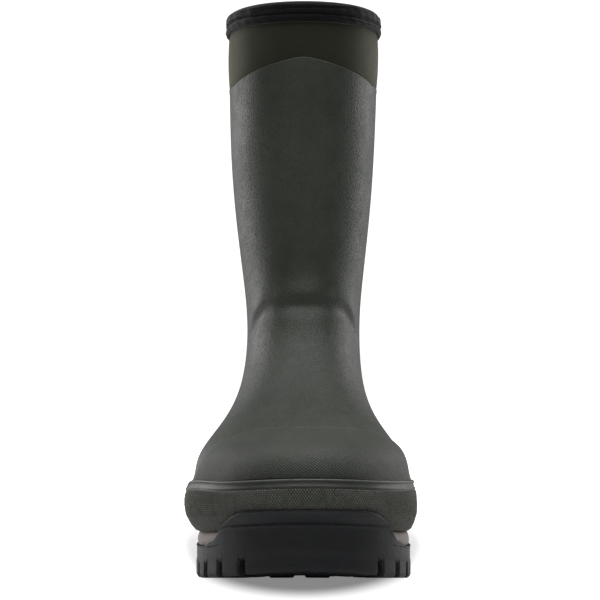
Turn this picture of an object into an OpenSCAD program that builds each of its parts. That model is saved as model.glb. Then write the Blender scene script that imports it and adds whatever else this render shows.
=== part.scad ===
// Insulated pull-on boot, right foot. Toe points to -Y, outer side of the foot is -X.
// The outside of the rubber is one smooth surface, skin(u, v): u runs round the boot from the
// back of the heel (0) over the inner side (90) to the toe (180), and v climbs from the sole
// (0) to the top. Every layer is an offset of that surface.

/* [Boot] */
// Height from the ground to the top of the binding
boot_h = 345; // [285:1:415]
// Reach of the toe in front of the leg axis
toe_reach = 229; // [190:1:275]
// Reach of the heel behind the leg axis
heel_reach = 82; // [68:1:99]
// Width across the ball of the foot
ball_w = 123; // [102:1:148]
// Width at the ankle
ankle_w = 74; // [61:1:89]
// Width at the top
top_w = 97; // [80:1:117]
// Depth from front to back at the top
top_d = 137; // [114:1:165]

/* [Upper layers] */
// Thickness of the rubber
rubber_t = 1.6; // [1.2:0.1:2.4]
// Thickness of the neoprene
neoprene_t = 4; // [3:0.5:6]
// Thickness of the fleece lining
lining_t = 2.5; // [1.5:0.5:4]
// Thickness of the toe cap and of the heel patch
patch_t = 1.4; // [1:0.1:2.5]
// Thickness of the toe puff and of the heel counter
stiffener_t = 1.2; // [0.8:0.1:1.6]
// Thickness of the lasting board
board_t = 2; // [1.5:0.5:3]
// Glue line between neighbouring layers
glue_gap = 0.3; // [0.2:0.05:0.4]
// Height of the fold across the front of the ankle
fold_h = 2.6; // [1:0.2:4]

/* [Rand] */
// Most that the rand stands out from the foot
rand_t = 6.6; // [4:0.1:8]
// Height of the rand at the heel
rand_heel_h = 18; // [14:1:24]
// Height of the rand at the toe
rand_toe_h = 30; // [22:1:36]

/* [Footbed] */
// Thickness of the foam footbed
footbed_t = 6; // [4:0.5:9]
// Thickness of the fleece on the footbed
footbed_cover_t = 1.5; // [1:0.5:3]
// Room between the footbed's edge and the lining
footbed_room = 0.8; // [0.5:0.1:2]

/* [Collar] */
// Height of the binding round the opening
binding_h = 13; // [9:1:20]
// Thickness of the binding
binding_t = 1.5; // [1:0.1:2.5]
// Thickness of the collar's facing cloth
facing_t = 1.1; // [0.8:0.1:1.3]
// Height of the collar cloth below the binding, at the sides
collar_h = 35; // [20:1:60]
// Rise of the rubber's peak at the front, above its edge at the sides
peak_h = 12.6; // [0:0.1:24]

/* [Sole] */
// Thickness of the outsole with its lugs
outsole_t = 17.5; // [14:0.5:24]
// Height of the lugs
lug_h = 8; // [5:0.5:10]
// Width of a lug along the edge
lug_w = 12; // [8:1:16]
// Gap between two lugs
lug_gap = 6; // [4:1:9]
// Depth of an edge lug, inwards
lug_depth = 20; // [12:1:24]
// Thickness of the midsole at the heel
midsole_heel_t = 14.5; // [10:0.5:22]
// Thickness of the midsole at the toe
midsole_toe_t = 7.5; // [5:0.5:12]
// Rise of the toe off the ground
toe_spring = 18; // [8:1:20]
// Amount that the outsole stands out past the foot
sole_margin = 2; // [1:0.2:4]
// Thickness of the bumper that the outsole turns up over the toe
bumper_t = 1.8; // [1.2:0.1:3]
// Half angle of the bumper round the toe
bumper_half = 40; // [30:1:48]
// Length of the shank
shank_l = 105; // [80:1:125]
// Width of the shank
shank_w = 18; // [12:1:24]
// Thickness of the shank
shank_t = 2.5; // [1.5:0.5:4]

/* [Hidden] */
nu = 40;                 // stations round the boot
ankle_f = 112;           // rise of the ankle row above the foot rows' base, at the front
ankle_b = 88;            // and at the back
foil_t = 0.4;
stitch_d = 0.8;
reach = rubber_t + glue_gap;                     // depth of the neoprene's outer face
core = reach + neoprene_t + glue_gap;            // depth of the lining's outer face
inside = core + lining_t;                        // depth of the lining's inner face
foot_v = 6.75;           // row at which the foot's layers end and the ankle's begin
leg_v = 8.45;            // row at which the ankle's layers end and the leg's begin
seam = 0.012;            // gap between those layers, in rows

// ---- the outer surface ----
base_f = outsole_t + midsole_toe_t;
base_b = outsole_t + midsole_heel_t;
ankle_zf = base_f + 26 + ankle_f;
ankle_zb = base_b + 26 + ankle_b;
function leg_z(from, share) = from + share * (boot_h - from);
function row(yf, zf, yb, zb, half, gauge, axis) = concat([yf, zf, yb, zb], half * gauge, axis);
// Each row: front and back ends of a section (y, z), half width at six stations from the back
// to the front, and the sideways run of its middle line.
ROWS = let (f = -toe_reach, b = heel_reach, d = top_d / 2, B = ball_w / 2, A = ankle_w / 2,
            T = top_w / 2, rf = rand_toe_h, rb = rand_heel_h) [
  row(.975 * f, base_f, .97 * b, base_b, B, [1.14, .78, .72, .98, 1.14, 1.26], [0, -2, 2]),
  row(f, base_f + .42 * rf, b, base_b + .55 * rb, B, [1.22, .80, .73, .98, 1.16, 1.28],
      [0, -6.5, 2]),
  row(.995 * f, base_f + rf, b, base_b + rb, B, [1.22, .80, .73, .98, 1.17, 1.26],
      [0, -6.5, 2]),
  row(.972 * f, base_f + rf + 17, .975 * b, base_b + rb + 10, B,
      [1.18, .79, .72, .99, 1.18, 1.22], [0, -5, 1]),
  row(.855 * f, base_f + rf + 29.5, .94 * b, base_b + rb + 22, B,
      [1.14, .77, .70, .865, .98, 1.01], [0, -5, 1]),
  row(.68 * f, base_f + 69, .9 * b, base_b + 53, B, [1.08, .75, .66, .735, .81, .86], [0, -3, 0]),
  row(.49 * f, base_f + 86, .85 * b, base_b + 68, B, [1, .70, .61, .63, .66, .72], [0, -1, 0]),
  row(.34 * f, base_f + 112, .79 * b, base_b + 88, B, [.90, .64, .58, .59, .61, .68],
      [0, .5, .5]),
  row(.275 * f, ankle_zf, .73 * b, ankle_zb, A, [1.33, 1.02, .97, 1, 1.04, 1.14], [.5, .5, .5]),
  row(.262 * f, leg_z(ankle_zf, .16), .72 * b, leg_z(ankle_zb, .18), A,
      [1.34, 1.12, 1.07, 1.11, 1.15, 1.17], [.3, .3, .3]),
  row(-.91 * d, leg_z(ankle_zf, .395), .89 * d, leg_z(ankle_zb, .42), T,
      [1.07, .97, .93, .945, .97, .99], [0, 0, 0]),
  row(-.97 * d, leg_z(ankle_zf, .67), .96 * d, leg_z(ankle_zb, .69), T,
      [1.11, 1.02, .985, .99, 1.02, 1.07], [0, 0, 0]),
  row(-d, boot_h, d, boot_h, T, [1.15, 1.03, 1, 1, 1.04, 1.11], [.6, .6, .6])
];
top_v = len(ROWS) - 1;

// Uniform cubic B-spline through the table P at s, straight on at both ends.
function along(P, s) =
  let (n = len(P), k = max(0, min(floor(s), n - 2)), f = s - k, g = 1 - f,
       before = k > 0 ? P[k - 1] : 2 * P[0] - P[1],
       after = k < n - 2 ? P[k + 2] : 2 * P[n - 1] - P[n - 2])
  (g * g * g * before + (3 * f * f * f - 6 * f * f + 4) * P[k]
   + (3 * g * g * g - 6 * g * g + 4) * P[k + 1] + f * f * f * after) / 6;

// Lift of the sole at y: level up to the ball of the foot, then a parabola to the toe.
ball_y = -.53 * toe_reach;
lift_y = -.45 * toe_reach;   // the toe spring starts here
function lift(y) = toe_spring * pow(max(0, lift_y - y) / (lift_y + toe_reach), 2);

function skin(u, v) =
  let (r = along(ROWS, v), t = (1 - cos(u)) / 2, s = 1 - t,
       half = along([for (i = [4:9]) r[i]], 5 * t),
       mid = r[10] * s * s + 2 * r[11] * s * t + r[12] * t * t,
       y = r[2] + (r[0] - r[2]) * t)
  [mid + sin(u) * half, y, r[3] + (r[1] - r[3]) * t + lift(y) * max(0, 1 - v / 5)];

function unit(a) = a / norm(a);
function skin_normal(u, v) =
  unit(cross(skin(u, v + .004) - skin(u, v - .004), skin(u + .1, v) - skin(u - .1, v)));
function flat_normal(u, v) =
  let (d = skin(u + .1, v) - skin(u - .1, v)) unit([-d[1], d[0], 0]);

// Off the skin by o, square to it; and at the sole, off the edge line by o at height z.
function raw_at(u, v, o) = skin(u, v) + o * skin_normal(u, v);
function raw_sole(u, z, o) =
  let (p = skin(u, 0) + o * flat_normal(u, 0)) [p[0], p[1], z + lift(p[1])];

// ---- rand, bumper and where the origin goes ----
// How far the rand stands out, from its foot (v = 0) to its lip (v = 2). It is thinner round
// the heel.
function rand_out(u, v) =
  rand_t * min(1, .7 + .3 * (1 - cos(u)))
  * lookup(v, [[0, .30], [.35, .66], [.8, .95], [1.2, 1], [1.6, .95], [2, .78]]);
// The rand is let in behind the bumper by this share at the toe.
function bumper_cover(u) = pow(max(0, cos(min(90, abs(u - 180) * 90 / (bumper_half + 8)))), .5);
function rand_face(u, v) =
  rand_out(u, v) - .45 * bumper_t * bumper_cover(u) * (v < 1 ? 1 : max(0, 1 - 5 * (v - 1)));
// Bumper's top edge, in rows, and a point on its inner or outer face.
function bumper_top(u) =
  let (a = abs(u - 180) / bumper_half) a < .5 ? .95 : .95 - 1.35 * pow((a - .5) / .5, 2);
function raw_bumper(u, v, o) =
  v > 0 ? raw_at(u, v, rand_face(u, v) + glue_gap + o)
        : let (p = skin(u, 0) + (rand_face(u, 0) + glue_gap + o) * flat_normal(u, 0))
          [p[0], p[1], p[2] + 12 * v];

widest_v = 1.2;
side_x = [for (u = [45:5:315]) raw_at(u, widest_v, rand_out(u, widest_v))[0]];
front_y = raw_bumper(180, .7, bumper_t)[1];
back_y = raw_at(0, widest_v, rand_out(0, widest_v))[1];
ORIGIN = [(min(side_x) + max(side_x)) / 2, (front_y + back_y) / 2, 0];

function at(u, v, o) = raw_at(u, v, o) - ORIGIN;
function sole_at(u, z, o) = raw_sole(u, z, o) - ORIGIN;
function bumper_at(u, v, o) = raw_bumper(u, v, o) - ORIGIN;

// Row whose height is z, at station u.
function row_at(u, z, lo = 0, hi = top_v, n = 14) =
  n == 0 ? (lo + hi) / 2
         : let (m = (lo + hi) / 2) skin(u, m)[2] < z ? row_at(u, z, m, hi, n - 1)
                                                     : row_at(u, z, lo, m, n - 1);

// ---- solids from rings ----
STATIONS = [for (i = [0:nu - 1]) 360 * i / nu];
function steps(a, b, n) = [for (i = [0:n]) a + (b - a) * i / n];
function back(list) = [for (i = [len(list) - 1:-1:0]) list[i]];

// Triangles between ring a and ring b, each of n points that start at the given index.
function band(a, b, n, round) =
  [for (i = [0:round ? n - 1 : n - 2]) let (j = (i + 1) % n)
    each [[a + i, a + j, b + j], [a + i, b + j, b + i]]];

// Flat cap across a ring, from side to side: under the first ring, or over the last one.
function across(a, n, first) =
  [for (i = [0:n / 2 - 1]) let (p = a + i, q = p + 1, s = a + (n - i) % n, t = a + n - i - 1)
    each concat(s == p ? [] : [first ? [p, s, q] : [p, q, s]],
                t == q ? [] : [first ? [q, s, t] : [q, t, s]])];

// Rings from the outer bottom, over the rim, down to the inner bottom: a cup.
module cup(rings) {
  n = len(rings[0]);
  m = len(rings);
  polyhedron(points = [for (r = rings) each r],
             faces = concat([for (j = [0:m - 2]) each band(j * n, (j + 1) * n, n, true)],
                            across(0, n, true), across((m - 1) * n, n, false)));
}

// Rings that close on the first one: a sleeve or a band.
module sleeve(rings) {
  n = len(rings[0]);
  m = len(rings);
  polyhedron(points = [for (r = rings) each r],
             faces = [for (j = [0:m - 1]) each band(j * n, ((j + 1) % m) * n, n, true)]);
}

// Open strips that close on the first one, with both ends capped: a patch. The strips go up
// the outer face and back down the inner face, as many on each.
module patch(strips) {
  n = len(strips[0]);
  m = len(strips);
  polyhedron(points = [for (r = strips) each r],
             faces = concat([for (j = [0:m - 1]) each band(j * n, ((j + 1) % m) * n, n, false)],
                            [for (j = [0:m / 2 - 2]) let (k = m - 1 - j)
                              each [[j * n, (j + 1) * n, (k - 1) * n],
                                    [j * n, (k - 1) * n, k * n],
                                    [(j + 1) * n - 1, (k - 1) * n + n - 1, (j + 2) * n - 1],
                                    [(j + 1) * n - 1, k * n + n - 1, (k - 1) * n + n - 1]]]));
}

function ring(v, o) = [for (u = STATIONS) at(u, v, o)];

// Rings of a layer between depths inner and outer, rows from bottom to top.
function layer(rows, outer, inner) =
  concat([for (v = rows) ring(v, outer)], [for (v = back(rows)) ring(v, inner)]);

// ---- foot layers: what their bottoms stand on, in rows from the sole up ----
function rise(t) = t / 10.5;          // rows for a thickness t near the sole
rubber_bottom = rise(rubber_t);
board_v = rubber_bottom + rise(glue_gap);
sock_v = board_v + rise(board_t + glue_gap);
sock_floor = sock_v + rise(neoprene_t);
lining_v = sock_floor + rise(glue_gap);
lining_floor = lining_v + rise(lining_t);
foil_v = lining_floor + rise(glue_gap);
bed_v = foil_v + rise(foil_t + glue_gap);
bed_top = bed_v + rise(footbed_t);
cover_v = bed_top + rise(glue_gap);
cover_top = cover_v + rise(footbed_cover_t);

foot_rows = steps(0, foot_v, 12);
function rows_from(v) = concat([v], [for (r = foot_rows) if (r > v + .15) r]);

// Recess that the toe puff and the heel counter lie in, 1 inside their outline.
function ramp(x) = max(0, min(1, x));
puff_half = 54;          // 6 stations each way
counter_half = 63;       // 7 stations each way
stiff_low = foot_rows[2];
stiff_high = foot_rows[6];
function recess(u, v) =
  let (toe = ramp((puff_half + 10 - abs(u - 180)) / 9),
       heel = ramp((counter_half + 10 - min(u, 360 - u)) / 9),
       tall = ramp((v - stiff_low + .55) / .4) * ramp((stiff_high + .6 - v) / .45))
  (stiffener_t + glue_gap) * max(toe, heel) * tall;
function sock_ring(v) = [for (u = STATIONS) at(u, v, -reach - recess(u, v))];

module outsole() {
  color([.03, .032, .036]) union() {
    cup([for (z = [lug_h, lug_h + 1.5, outsole_t])
         [for (u = STATIONS) sole_at(u, z, sole_margin - (z == lug_h ? 1 : 0))]]);
    bumper();
    edge_lugs();
    centre_lugs();
  }
}

// The outsole turned up over the toe.
module bumper() {
  n = 18;
  us = steps(180 - bumper_half, 180 + bumper_half, n);
  foot = -(base_f - lug_h - .5) / 12;
  m = 7;
  patch(concat(
    [for (j = [0:m]) [for (u = us) bumper_at(u, foot + (bumper_top(u) - foot) * j / m,
                                             j == m ? bumper_t - .7 : bumper_t)]],
    [for (j = [m:-1:0]) [for (u = us) bumper_at(u, foot + (bumper_top(u) - foot) * j / m,
                                                j == 0 ? -1 : 0)]]));
}

// Arc length along the outsole's edge, to place lugs at even steps.
edge_n = 90;
edge_pts = [for (i = [0:edge_n]) raw_sole(180 * i / edge_n, 0, sole_margin)];
function run(i) = i == 0 ? 0 : run(i - 1) + norm(edge_pts[i] - edge_pts[i - 1]);
edge_table = [for (i = [0:edge_n]) [run(i), 180 * i / edge_n]];
edge_l = edge_table[edge_n][0];
toe_lug_in = 46;         // how far the lug under the toe reaches round, inner side
toe_lug_out = 38;        // and outer side
arch_lo = -42;           // the arch between these places carries low bars, not lugs
arch_hi = 6;

// A block with its corners on the edge line at stations ua and ub, depth inwards.
module edge_lug(ua, ub, depth, low, out = .5) {
  shape = [for (z = [low, low + 2, lug_h + 1]) for (u = [ua, (ua + ub) / 2, ub])
             each [sole_at(u, z, sole_margin + (z == low ? -1.2 : out)),
                   sole_at(u, z, sole_margin - depth)]];
  hull() polyhedron(points = shape, faces = [[for (i = [0:len(shape) - 1]) i]]);
}

module edge_lugs() {
  for (side = [-1, 1]) {
    length = edge_l - 1.5 - (side > 0 ? toe_lug_in : toe_lug_out);
    count = floor(length / (lug_w + lug_gap));
    for (i = [0:count - 1]) {
      s = length * (i + .5) / count;
      ua = lookup(s - lug_w / 2, edge_table);
      ub = lookup(s + lug_w / 2, edge_table);
      y = raw_sole((ua + ub) / 2, 0, 0)[1];
      in_arch = y > arch_lo && y < arch_hi;
      edge_lug(side > 0 ? ua : 360 - ub, side > 0 ? ub : 360 - ua,
               in_arch ? lug_depth * .7 : lug_depth, in_arch ? lug_h * .55 : 0);
    }
  }
  ta = lookup(edge_l - toe_lug_in, edge_table);
  sixth = (360 - lookup(edge_l - toe_lug_out, edge_table) - ta) / 6;
  for (i = [0:5])
    edge_lug(ta + i * sixth - (i > 0 ? .6 : 0), ta + (i + 1) * sixth, lug_depth, 0, out = 1);
}

// Chevron blocks down the middle of the forefoot and of the heel.
module centre_block(x, y, w, d, skew) {
  shape = [for (z = [0, lug_h + 1]) for (c = [[-1, -1], [1, -1], [1, 1], [-1, 1]])
             let (py = y + c[1] * d / 2 + c[0] * skew, grow = z == 0 ? -.8 : 0)
             [x + c[0] * (w / 2 + grow), py + c[1] * grow, z + lift(py)] - ORIGIN];
  hull() polyhedron(points = shape, faces = [[for (i = [0:7]) i]]);
}

module centre_lugs() {
  for (i = [0:4]) {
    y = ball_y + 62 - 26 * i;
    w = i == 4 ? 15 : 19;
    for (side = [-1, 1]) centre_block(-2 + side * (w / 2 + 2.5), y, w, 13, -side * 4);
  }
  for (i = [0:1]) centre_block(0, heel_reach * (.62 - .34 * i), 18, 14, 0);
}

module midsole() {
  color([.58, .55, .53]) difference() {
    cup([for (k = [0:3]) let (s = k / 3)
         [for (u = STATIONS) let (lo = raw_sole(u, outsole_t + glue_gap, 1.2), hi = raw_at(u, 0, -.2))
            lo + (hi - [0, 0, glue_gap] - lo) * s
            + .9 * sin(180 * s) * flat_normal(u, 0) - ORIGIN]]);
    shank_body(glue_gap);
  }
}

// Let into the underside of the midsole, under the arch.
shank_y = -36;
module shank_body(room) {
  translate([-2, shank_y, outsole_t - (room > 0 ? 2 : 0)] - ORIGIN)
    linear_extrude(shank_t + (room > 0 ? 2 + room : 0))
      hull() for (s = [-1, 1])
        translate([0, s * (shank_l - shank_w) / 2]) circle(d = shank_w + 2 * room);
}
module shank() {
  color([.6, .6, .62]) translate([0, 0, .1]) shank_body(0);
}

module insole_board() {
  color([.55, .45, .33]) cup([ring(board_v, -reach), ring(board_v + rise(board_t), -reach)]);
}
module thermal_foil() {
  color([.75, .75, .78])
    cup([ring(foil_v, -inside - glue_gap), ring(foil_v + rise(foil_t), -inside - glue_gap)]);
}
module footbed() {
  color([.12, .12, .12])
    cup([for (v = [bed_v, bed_v + rise(2), bed_top]) ring(v, -inside - footbed_room)]);
}
module footbed_cover() {
  color([.25, .25, .24])
    cup([ring(cover_v, -inside - footbed_room), ring(cover_top, -inside - footbed_room - .4)]);
}

module foot_sock() {
  color([.05, .05, .055])
    cup(concat([for (v = rows_from(sock_v)) sock_ring(v)],
               [for (v = back(rows_from(sock_floor))) ring(v, -reach - neoprene_t)]));
}
module foot_lining() {
  color([.2, .2, .19])
    cup(concat([for (v = rows_from(lining_v)) ring(v, -core)],
               [for (v = back(rows_from(lining_floor))) ring(v, -inside)]));
}

// A thin former in the sock's recess, from u - half to u + half.
module stiffener(mid, half) {
  us = steps(mid - half, mid + half, 2 * half * nu / 360);
  vs = steps(stiff_low, stiff_high, 4);
  patch(concat([for (v = vs) [for (u = us) at(u, v, -reach)]],
               [for (v = back(vs)) [for (u = us) at(u, v, -reach - stiffener_t)]]));
}
module toe_puff() { color([.8, .78, .7]) stiffener(180, puff_half); }
module heel_counter() { color([.8, .78, .7]) stiffener(0, counter_half); }

module foot_rubber() {
  color([.068, .072, .062])
    cup(concat([for (v = foot_rows) ring(v, 0)],
               [for (v = back(rows_from(rubber_bottom))) ring(v, -rubber_t)]));
}

// The cap's rear edge, in rows: it runs further back on the inner side.
cap_outer = 54;
cap_inner = 71;
cap_rise = 2.3;
patch_gap = .5;          // glue line under the toe cap and the heel patch
lip_v = 2;               // the rand's top edge
cap_foot = lip_v + .03;
function cap_edge(u) =
  let (a = .995 * abs(u - 180) / (u > 180 ? cap_outer : cap_inner))
  cap_foot + .02 + cap_rise * pow(1 - pow(a, 3.4), .65);
module toe_cap() {
  us = [for (a = steps(-90, 90, 26)) 180 + (a > 0 ? cap_outer : cap_inner) * sin(a)];
  m = 7;
  function face(o, j) = [for (u = us) at(u, cap_foot + (cap_edge(u) - cap_foot) * j / m, o)];
  color([.078, .08, .07])
    patch(concat([for (j = [0:m]) face(patch_gap + patch_t - (j == m ? .6 : 0), j)],
                 [for (j = [m:-1:0]) face(patch_gap, j)]));
}

module heel_patch() {
  us = [for (a = steps(-90, 90, 14)) 48 * sin(a)];
  m = 5;
  function face(o, j) =
    [for (u = us) at(u, cap_foot + (.35 + 2.1 * sqrt(1 - pow(abs(u) / 48.4, 4))) * j / m, o)];
  color([.075, .078, .068])
    patch(concat([for (j = [0:m]) face(patch_gap + patch_t - (j == m ? .6 : 0), j)],
                 [for (j = [m:-1:0]) face(patch_gap, j)]));
}

module rand() {
  vs = [0, .35, .8, 1, 1.2, 1.6, 1.86, lip_v];
  inner = [lip_v, foot_rows[3], foot_rows[2], foot_rows[1], 0];
  color([.05, .052, .045])
    sleeve(concat([for (v = vs) [for (u = STATIONS) at(u, v, rand_face(u, v))]],
                  [for (v = inner) ring(v, glue_gap)]));
}

// ---- ankle: the part that bends ----
fold_v = 8.02;           // row of the fold's crest at the front
fold_half = 78;          // how far round it fades out
function fold_out(u, v) =
  let (d = abs(u - 180), crest = fold_v - .55 * pow(d / 60, 4),
       fade = d < fold_half ? pow(cos(90 * d / fold_half), .7) : 0)
  fold_h * fade * (exp(-pow((v - crest) / .16, 2)) - .25 * exp(-pow((v - crest + .42) / .25, 2)));
ankle_lo = foot_v + seam;
ankle_hi = leg_v - seam;
module ankle_rubber() {
  color([.064, .068, .06])
    sleeve(concat([for (v = steps(ankle_lo, ankle_hi, 13))
                    [for (u = STATIONS) at(u, v, fold_out(u, v))]],
                  [for (v = steps(ankle_hi, ankle_lo, 4)) ring(v, -rubber_t)]));
}
module ankle_sock() {
  color([.05, .05, .055])
    sleeve(layer(steps(ankle_lo, ankle_hi, 4), -reach, -reach - neoprene_t));
}
module ankle_lining() {
  color([.2, .2, .19]) sleeve(layer(steps(ankle_lo, ankle_hi, 4), -core, -inside));
}

// ---- leg ----
binding_v = row_at(90, boot_h - binding_h);
rubber_v = row_at(90, boot_h - binding_h - collar_h);
stack_v = row_at(90, boot_h - binding_t - .5);   // top of the layers, inside the binding
peak_v = row_at(180, boot_h - binding_h - collar_h + peak_h) - row_at(180, boot_h - binding_h - collar_h);
// The rubber's top edge: level round the back and sides, rising to a rounded peak in front.
function rubber_top(u) =
  rubber_v + peak_v * max(0, 1.09 - sqrt(pow(abs(u - 180) / 58, 2) + .008));
// Rings from row lo to the rubber's edge or to a level row, at depth o.
function shaft_face(o, n) =
  [for (j = [0:n]) [for (u = STATIONS) at(u, leg_v + (rubber_top(u) - leg_v) * j / n, o)]];
module shaft_rubber() {
  color([.055, .06, .05]) sleeve(concat(shaft_face(0, 7), back(shaft_face(-rubber_t, 7))));
}
module leg_sleeve() {
  color([.05, .05, .055])
    sleeve(layer(steps(leg_v, stack_v, 8), -reach, -reach - neoprene_t));
}
module leg_lining() {
  color([.2, .2, .19]) sleeve(layer(steps(leg_v, stack_v, 8), -core, -inside));
}
module collar_facing() {
  n = 4;
  function face(o) =
    [for (j = [0:n]) [for (u = STATIONS)
      let (lo = rubber_top(u) + seam) at(u, lo + (stack_v - lo) * j / n, o)]];
  color([.06, .062, .04])
    sleeve(concat(face(-reach + glue_gap + facing_t), back(face(-reach + glue_gap))));
}
// A folded strip over the edge: outer leg, rounded top, inner leg.
module top_binding() {
  out = -reach + 2 * glue_gap + facing_t;
  in = -inside - glue_gap;
  under = stack_v + rise(.25) / 2;
  mid = (out + in) / 2;
  half = (out - in) / 2 + binding_t;
  arch = [for (a = [0:30:180]) [top_v - .05 + .05 * sin(a), mid + half * cos(a)]];
  section = concat([[binding_v, out + binding_t]], arch,
                   [[binding_v, in - binding_t], [binding_v, in], [under, in], [under, out],
                    [binding_v, out]]);
  color([.018, .018, .02]) sleeve([for (p = section) ring(p[0], p[1])]);
}
module binding_stitch() {
  v = binding_v + .6 * (top_v - .05 - binding_v);
  o = -reach + 2 * glue_gap + facing_t + binding_t;
  d = stitch_d / 2;
  dv = d / 60;
  color([.1, .1, .1])
    sleeve([ring(v - dv, o + .05), ring(v - dv, o + d), ring(v + dv, o + d), ring(v + dv, o + .05)]);
}

outsole();
midsole();
shank();
insole_board();
thermal_foil();
footbed();
footbed_cover();
foot_sock();
foot_lining();
toe_puff();
heel_counter();
foot_rubber();
toe_cap();
rand();
heel_patch();
ankle_sock();
ankle_lining();
ankle_rubber();
leg_sleeve();
leg_lining();
shaft_rubber();
collar_facing();
top_binding();
binding_stitch();
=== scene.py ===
"""Insulated pull-on rubber boot: surfaces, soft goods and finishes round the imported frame."""
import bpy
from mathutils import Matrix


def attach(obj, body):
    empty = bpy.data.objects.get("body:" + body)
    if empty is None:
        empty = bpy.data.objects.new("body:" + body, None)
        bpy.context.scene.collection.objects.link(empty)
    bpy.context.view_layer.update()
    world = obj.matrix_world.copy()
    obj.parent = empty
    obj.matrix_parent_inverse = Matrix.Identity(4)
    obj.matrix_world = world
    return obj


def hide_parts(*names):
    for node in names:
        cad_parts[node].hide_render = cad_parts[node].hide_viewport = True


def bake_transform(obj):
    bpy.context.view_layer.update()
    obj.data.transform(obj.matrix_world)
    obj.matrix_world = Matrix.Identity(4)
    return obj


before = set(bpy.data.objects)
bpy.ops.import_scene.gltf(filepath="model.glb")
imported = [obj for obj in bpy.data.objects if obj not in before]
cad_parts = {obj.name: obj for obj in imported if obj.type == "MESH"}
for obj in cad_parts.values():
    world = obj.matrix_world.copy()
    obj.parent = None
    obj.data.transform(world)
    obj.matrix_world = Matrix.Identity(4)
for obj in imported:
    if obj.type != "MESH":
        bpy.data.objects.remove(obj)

from types import SimpleNamespace

import bpy
import numpy as np
from bpy.props import FloatProperty, FloatVectorProperty, IntProperty, PointerProperty
from mathutils import Vector

bl_info = {
    "name": "Insulated pull-on boot",
    "version": (1, 0, 0),
    "blender": (4, 5, 0),
    "location": "3D View > Sidebar > Boot",
    "description": "Builds the rubber, neoprene, fleece and sole of an insulated boot",
    "category": "Add Mesh",
}

FOOT, SHAFT = "foot", "shaft"
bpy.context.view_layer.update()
MM = 0.001


# ---- sizes and colours a user would change ----
def length(name, what, mm):
    """A length property, given in millimetres and kept in metres."""
    return FloatProperty(name=name, description=what, default=mm * MM, min=0, unit="LENGTH",
                         subtype="DISTANCE", precision=4)


def colour(name, what, rgb):
    """A linear colour property."""
    return FloatVectorProperty(name=name, description=what, default=rgb, size=3, min=0, max=1,
                               subtype="COLOR")


def power(name, what, watts):
    """A lamp's power."""
    return FloatProperty(name=name, description=what, default=watts, min=0, subtype="POWER",
                         unit="POWER")


class BootSizes(bpy.types.PropertyGroup):
    """Sizes of the boot, each the same as in the CAD source."""
    boot_h: length("Height", "Floor to the top of the binding", 345)
    toe_reach: length("Toe reach", "Leg axis to the toe, without the rand", 229)
    heel_reach: length("Heel reach", "Leg axis to the back of the heel", 82)
    ball_w: length("Ball width", "Width of the upper at the ball of the foot", 123)
    ankle_w: length("Ankle width", "Width of the upper at the ankle", 74)
    top_w: length("Top width", "Width at the top", 97)
    top_d: length("Top depth", "Depth at the top", 137)
    rubber_t: length("Rubber thickness", "Wall of the rubber upper", 1.6)
    neoprene_t: length("Neoprene thickness", "Wall of the neoprene bootie", 4)
    lining_t: length("Lining thickness", "Fleece lining with its pile", 2.5)
    patch_t: length("Patch thickness", "Toe cap and heel patch", 1.4)
    stiffener_t: length("Stiffener thickness", "Toe puff and heel counter", 1.2)
    glue_gap: length("Glue gap", "Glue line between layers", 0.3)
    fold_h: length("Fold height", "Roll of rubber over the instep", 2.6)
    rand_t: length("Rand thickness", "Rubber band round the foot", 6.6)
    rand_heel_h: length("Rand height, heel", "Height of the rand at the heel", 18)
    rand_toe_h: length("Rand height, toe", "Height of the rand at the toe", 30)
    footbed_t: length("Footbed thickness", "Foam of the footbed", 6)
    footbed_cover_t: length("Footbed fleece", "Fleece on the footbed", 1.5)
    footbed_room: length("Footbed room", "Gap round the footbed", 0.8)
    binding_h: length("Binding height", "How far the binding comes down", 13)
    binding_t: length("Binding thickness", "Thickness of the binding", 1.5)
    facing_t: length("Collar cloth thickness", "Cloth over the neoprene collar", 1.1)
    collar_h: length("Collar height", "Cloth showing between rubber and binding", 35)
    peak_h: length("Peak height", "Rise of the rubber's top edge in front", 12.6)
    outsole_t: length("Outsole thickness", "Floor to the top of the outsole", 17.5)
    lug_h: length("Lug height", "Depth of the tread", 8)
    lug_w: length("Lug width", "Length of a lug along the edge", 12)
    lug_gap: length("Lug gap", "Gap between lugs", 6)
    lug_depth: length("Lug depth", "How far a lug reaches inwards", 20)
    midsole_heel_t: length("Midsole, heel", "Midsole thickness at the heel", 14.5)
    midsole_toe_t: length("Midsole, toe", "Midsole thickness at the toe", 7.5)
    toe_spring: length("Toe spring", "Lift of the sole at the toe", 18)
    sole_margin: length("Sole margin", "How far the outsole stands out", 2)
    bumper_t: length("Bumper thickness", "Outsole turned up over the toe", 1.8)
    knurl_pitch: length("Knurl pitch", "Width of a diamond on the rand", 1.7)
    knurl_h: length("Knurl height", "Height of a diamond on the rand", 0.5)
    stitch_l: length("Stitch length", "Length of one stitch of the binding", 2.6)


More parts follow.
